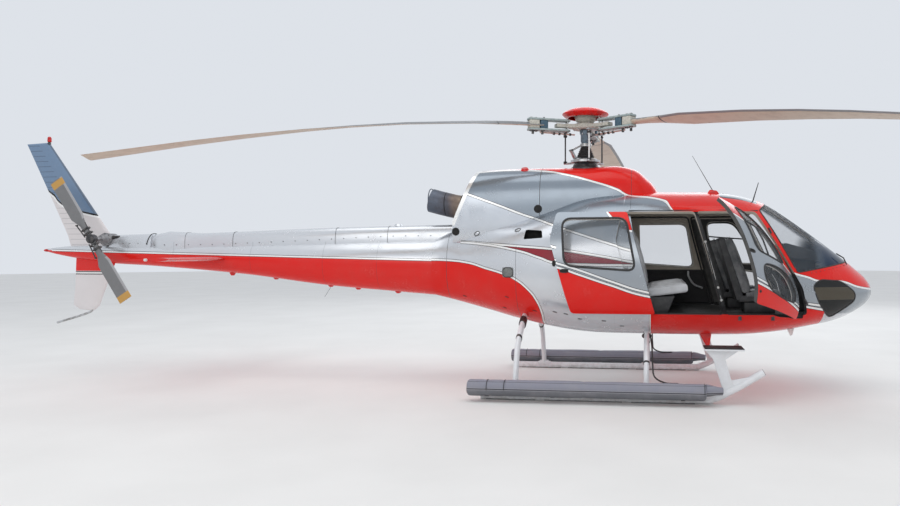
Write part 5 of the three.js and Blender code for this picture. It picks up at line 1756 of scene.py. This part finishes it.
# %% Rear bench
BENCH_PADS = [((1.215, 1.275), (0.76, 1.215), 0.1), ((0.775, 1.245), (0.605, 1.885), 0.09)]
BENCH_FRAME = [(0.54, 0.932), (1.0, 0.932), (1.08, 1.13), (0.69, 1.11), (0.535, 1.87),
               (0.48, 1.87)]
PLACE_WIDTH = 0.366
bench_frame = slab(BENCH_FRAME, 0.735, shell, 0.012)
bench_pads, bench_cords = [], []
for i in range(4):
    place = Matrix.Translation((0, (i - 1.5) * (PLACE_WIDTH + 0.002), 0))
    for low, high, thick in BENCH_PADS:
        pad = cushion(low, high, thick, PLACE_WIDTH, (-0.4, 0.2, 0.7), pale_leather, levels=0)
        bench_pads += moved([pad], place)
        bench_cords += moved([piping(low, high, PLACE_WIDTH, pale_leather)], place)
joined("bench_frame", [bench_frame])
bench = joined("bench_cushions", bench_pads + bench_cords, "rear_bench")

# %% Instrument panel
gauge = Finish("gauge_face", (0.01, 0.01, 0.012), 0.2)
where, *_ = gauge.place()
gauge.set(base_color=gauge.mix(gauge.noise(where, 90, 2) > 0.62, (0.008, 0.008, 0.01), (0.4, 0.4, 0.36)))

hood = rounded(((2.33, 1.7), (2.36, 1.735), (2.7, 1.64), (2.735, 1.52), (2.4, 1.56)), 0.02)
pillar = rounded(((2.395, 1.56), (2.725, 1.56), (2.735, 1.18), (2.7, 0.932), (2.49, 0.932),
                  (2.49, 1.3)), 0.02)
panel_parts = [slab(hood, 0.325, shell, 0.016, 3), slab(pillar, 0.2, shell, 0.014, 3)]
face = Vector((-0.99, 0, -0.14)).normalized()
for row, (z, count) in enumerate(((1.64, 5), (1.5, 3), (1.4, 3))):
    for i in range(count):
        x = 2.352 + (0.012 + (1.64 - z) * 0.42 if row else 0)
        place = Vector((x, (i - (count - 1) / 2) * 0.112, z))
        panel_parts += [button(place, 0.044, 0.012, face, 20),
                        button(place + face * 0.005, 0.037, 0.01, face, 20, gauge.material)]
joined("instrument_hood", panel_parts, "instrument_panel")

# %% Sticks, levers and handles
control_parts = []
for side in BOTH:
    y, lever_y = side * SEAT_Y, side * SEAT_Y - 0.255 * side
    stick = spline([(2.33, y, 0.935), (2.38, y, 1.15), (2.29, y, 1.3), (2.31, y, 1.42)], 6)
    control_parts += [
        bar(stick, 0.013, shell, sides=10), bar([(2.298, y, 1.35), (2.318, y, 1.47)], 0.021, sides=12),
        bar([(1.93, lever_y, 1.05), (2.2, lever_y, 1.17)], 0.014, shell, sides=10)]
    pedal = [(2.6, 1.02), (2.64, 1.02), (2.655, 1.14), (2.615, 1.14)]
    control_parts += [slab(pedal, (y + step - 0.035, y + step + 0.035), dark_metal) for step in (-0.08, 0.08)]
grab = [(1.305, 0.868, 1.368), (1.31, 0.825, 1.295), (1.38, 0.822, 1.195), (1.493, 0.862, 1.145)]
control_parts.append(bar(spline(grab, 6), 0.013, pale_leather, sides=10))
joined("cabin_controls", control_parts)
print("cabin pieces are in")

# %% [markdown]
# ## Small fittings
# Latches, screws, aerials, lights and vents. They are small, but the eye uses them to judge the
# size of the plain panels, so they stand where the real ones do. Each is laid on the skin by asking
# the skin for its width at that place.

# %% Fittings on the body
beacon = Finish("beacon_red", (0.75, 0.02, 0.015), 0.15, transmission_weight=0.3)
where, *_ = beacon.place()
beacon.set(base_color=beacon.mix(beacon.noise(where, 40, 2), (0.78, 0.02, 0.015), (0.5, 0.01, 0.01)))
pale_metal = worn("pale_metal", (0.55, 0.54, 0.52), (0.38, 0.38, 0.37), 30, (0.35, 0.2), 0.6)
grille = worn("grille", (0.2, 0.21, 0.2), (0.09, 0.09, 0.09), 60, (0.4, 0.3), grain=300)


def on_skin(x, z, side, skin=hull):
    """A place on the skin and the way out of it."""
    place = Vector((x, side * skin.half_at(x, z), z))
    return place, Vector(skin.slope(np.array([place]))[0])


# latch plates are black unless told otherwise: painted shade in the latch's recess
def latch(x, z, side, size, lean=0.0, material=soot_and_painted_shade, skin=hull):
    """A flush latch: a thin frame with a plate in it."""
    place, normal = on_skin(x, z, side, skin)
    across = Vector(UP).cross(normal).normalized()
    turn = Matrix((across, normal.cross(across), normal)).transposed().to_4x4()
    turn = Matrix.Translation(place) @ turn @ Matrix.Rotation(lean, 4, "Z")
    corners = oblong((-size[0], size[0]), (-size[1], size[1]))
    edge = bar([turn @ Vector((*corner, 0.001)) for corner in corners], 0.005, closed=True, fine=1)
    return [edge, *moved([slab(corners, (-0.004, 0.002), material, 0.001, 1, "Z")], turn)]


def drain(x, z, side, length=0.05):
    """A short dark drain slot or bolt head."""
    place, normal = on_skin(x, z, side)
    along = Vector((1, 0, 0)) - normal * normal.x
    return bar([place - along * length / 2, place + along * length / 2], 0.008, sides=8, flat=0.6, fine=1)


VENT_ROUND = 0.044
VENT_RIM = [(VENT_ROUND, -0.002), (VENT_ROUND + 0.006, 0.0), (VENT_ROUND, 0.005), (VENT_ROUND - 0.004, 0.002),
            (VENT_ROUND, -0.002)]
DRAINS = ((-0.289, 0.935), (-0.159, 0.915), (0.002, 0.858), (0.278, 0.84), (0.48, 0.777), (-0.932, 0.96),
          (-0.538, 0.94), (-0.875, 1.097), (-1.458, 1.087))
fittings = []
for side in BOTH:
    fittings += latch(-1.285, 1.85, side, (0.034, 0.02), 0.6, body_paint, hoods)
    fittings += latch(-0.752, 1.886, side, (0.034, 0.02), 0.4, body_paint)
    fittings += latch(-0.847, 1.39, side, (0.07, 0.056), 0.0, grille)
    fittings += [drain(*place, side) for place in DRAINS] + [drain(-0.33, 1.834, side, 0.03)]
    for x, z in ((-1.556, 1.876), (-0.53, 2.142)):
        place, normal = on_skin(x, z, side, hoods)
        # each vent's face is a black disc: painted shade in its opening
        fittings += [button(place, VENT_ROUND, 0.004, normal, 20, soot_and_painted_shade),
                     turned_profile(VENT_RIM, rubber.material, 24, normal, place)]
    for x in (1.789, 2.15):
        y = on_skin(x, 0.905, side)[0].y
        outline = [(x - 0.02, 0.868), (x + 0.02, 0.868), (x + 0.016, 0.926), (x - 0.016, 0.926)]
        fittings.append(slab(outline, tuple(sorted((y, y + side * 0.008))), dark_metal, 0.003))
    # rivets along the foot of the windshield
    for x in np.arange(2.56, 3.08, 0.052):
        z = float(np.interp(x, (2.455, 3.14), (1.405, 1.532))) - 0.028
        place, normal = on_skin(float(x), z, side)
        fittings.append(button(place, 0.0055, 0.004, normal, 8))
joined("body_fittings", fittings)
print("body fittings:", len(fittings))

# %% Aerials, lights and the probe
base = rounded(((1.46, 2.3), (1.62, 2.3), (1.585, 2.352), (1.5, 2.366)), 0.015)
blade_low = [(1.375, 0.668), (1.515, 0.668), (1.495, 0.53), (1.47, 0.49)]
nose_low = [(2.38, 0.74), (2.47, 0.76), (2.445, 0.662), (2.42, 0.652)]
masts = [slab(base, (-0.275, -0.225), cap_paint, 0.006),
         bar([(1.54, -0.25, 2.35), (1.44, -0.25, 2.525), (1.3, -0.25, 2.77)], 0.003,
             tips=(0.005, 0.0022)),
         bar([(1.99, -0.3, 2.205), (2.06, -0.3, 2.44)], 0.004, tips=(0.008, 0.004)),
         slab(blade_low, (-0.345, -0.333), cap_paint), slab(nose_low, (-0.307, -0.293), white_rod)]
for x, z, length in ((-2.415, 1.122, 0.026), (-2.949, 1.166, 0.026), (-3.321, 1.199, 0.026),
                     (-4.075, 1.292, 0.026), (-4.687, 1.356, 0.04)):
    foot = [(x - 0.045, z), (x + 0.045, z), (x + 0.015, z - length), (x - 0.02, z - length)]
    masts.append(slab(foot, 0.012, cap_paint))
fin_light = [(0, 0.0), (0.024, 0.0), (0.026, 0.015), (0.024, 0.055), (0.016, 0.07), (0, 0.075)]
tail_light = [(0, 0.0), (0.02, 0.0), (0.018, 0.03), (0.01, 0.05), (0, 0.054)]
masts += [bar([(-3.321, 0, 1.18), (-3.411, 0, 1.041)], 0.002, sides=5),
          turned_profile(fin_light, beacon.material, 20, centre=(-7.364, 0, 3.132)),
          button((-7.366, 0, 3.108), 0.022, 0.034, UP, 16),
          turned_profile(tail_light, beacon.material, 16, (-1, 0, 0), (-7.392, 0, 1.65)),
          bar([(3.02, -0.42, 1.49), (2.98, -0.45, 1.56), (2.9, -0.45, 1.61)], 0.007, sides=8),
          button((-0.725, -0.23, 2.633), 0.055, 0.03, (0, -0.4, 0.9), 20, cap_paint),
          button((-2.418, 0, 1.962), 0.055, 0.03, UP, 20, tail_paint)]
masts += [turned_profile([(0, 0.0), (0.016, 0.0), (0.016, 0.03), (0, 0.04)], white_rod, 12, (0, side, 0),
                         (-4.975, side * 1.262, 1.535)) for side in BOTH]
joined("aerials_and_lights", masts)

# %% Door latches and hinges
GUTTER = [(0.56, 2.096), (1.1, 2.096), (1.7, 2.096), (2.01, 2.094)]
for word, side in SIDES.items():
    front = latch(1.55, 1.455, side, (0.045, 0.016)) + latch(1.66, 1.05, side, (0.01, 0.01))
    hinges = [bar([HINGE_LOW.lerp(HINGE_HIGH, t) for t in pair], 0.011, dark_metal, sides=10)
              for pair in ((0.1, 0.16), (0.84, 0.9))] if side < 0 else []
    stand(front, side, SWING)
    for piece in front:
        keep_home(piece)
    joined(f"front_door_latch_{word}", front, body=f"door_{word}")
    rear = latch(0.594, 1.417, side, (0.045, 0.018)) + latch(0.48, 1.5, side, (0.016, 0.03))
    stand(rear, side, SLIDE)
    joined(f"sliding_door_latch_{word}", rear + hinges)
    joined(f"door_gutter_{word}", [bar(laid(GUTTER, side, 0.002), 0.007)])

# Rubber seals round the door openings, on the inside, and the striker strip on the post
SEAL_IN = -0.066
for word, side in SIDES.items():
    lips = [bar(along_skin(corners, side, DOOR_ROUND, 0.004, SEAL_IN), 0.011, closed=True)
            for corners in (FRONT_DOOR, SLIDING_DOOR)]
    strip = laid([(1.405, 1.74), (1.492, 1.415), (1.578, 1.1)], side, 0.002)
    lips.append(bar(strip, 0.0065, pale_metal, sides=8, flat=0.6))
    for place in (strip[0], laid([(1.54, 1.24)], side, 0.002)[0], strip[-1]):
        lips.append(button(place, 0.016, 0.014, (0, side, 0), 10, pale_metal))
    joined(f"opening_seals_{word}", lips)

# The gas hoses that run down the front legs to the floats
HOSE = [(0.8, 0.48, 0.672), (0.822, 0.8, 0.565), (0.83, 1.0, 0.4), (0.85, 1.13, 0.285),
        (0.96, 1.19, 0.232), (1.1, 1.215, 0.228)]
hoses = [spline([(x, side * y, z) for x, y, z in HOSE], 8) for side in BOTH]
joined("float_hoses", [bar(hose, 0.009, sides=8) for hose in hoses])
print("each hose is", round(sum((b - a).length for a, b in zip(hoses[0], hoses[0][1:])), 2), "m long")

# %% Clear the bench and finish
for whole in BENCH:
    bpy.data.objects.remove(whole)
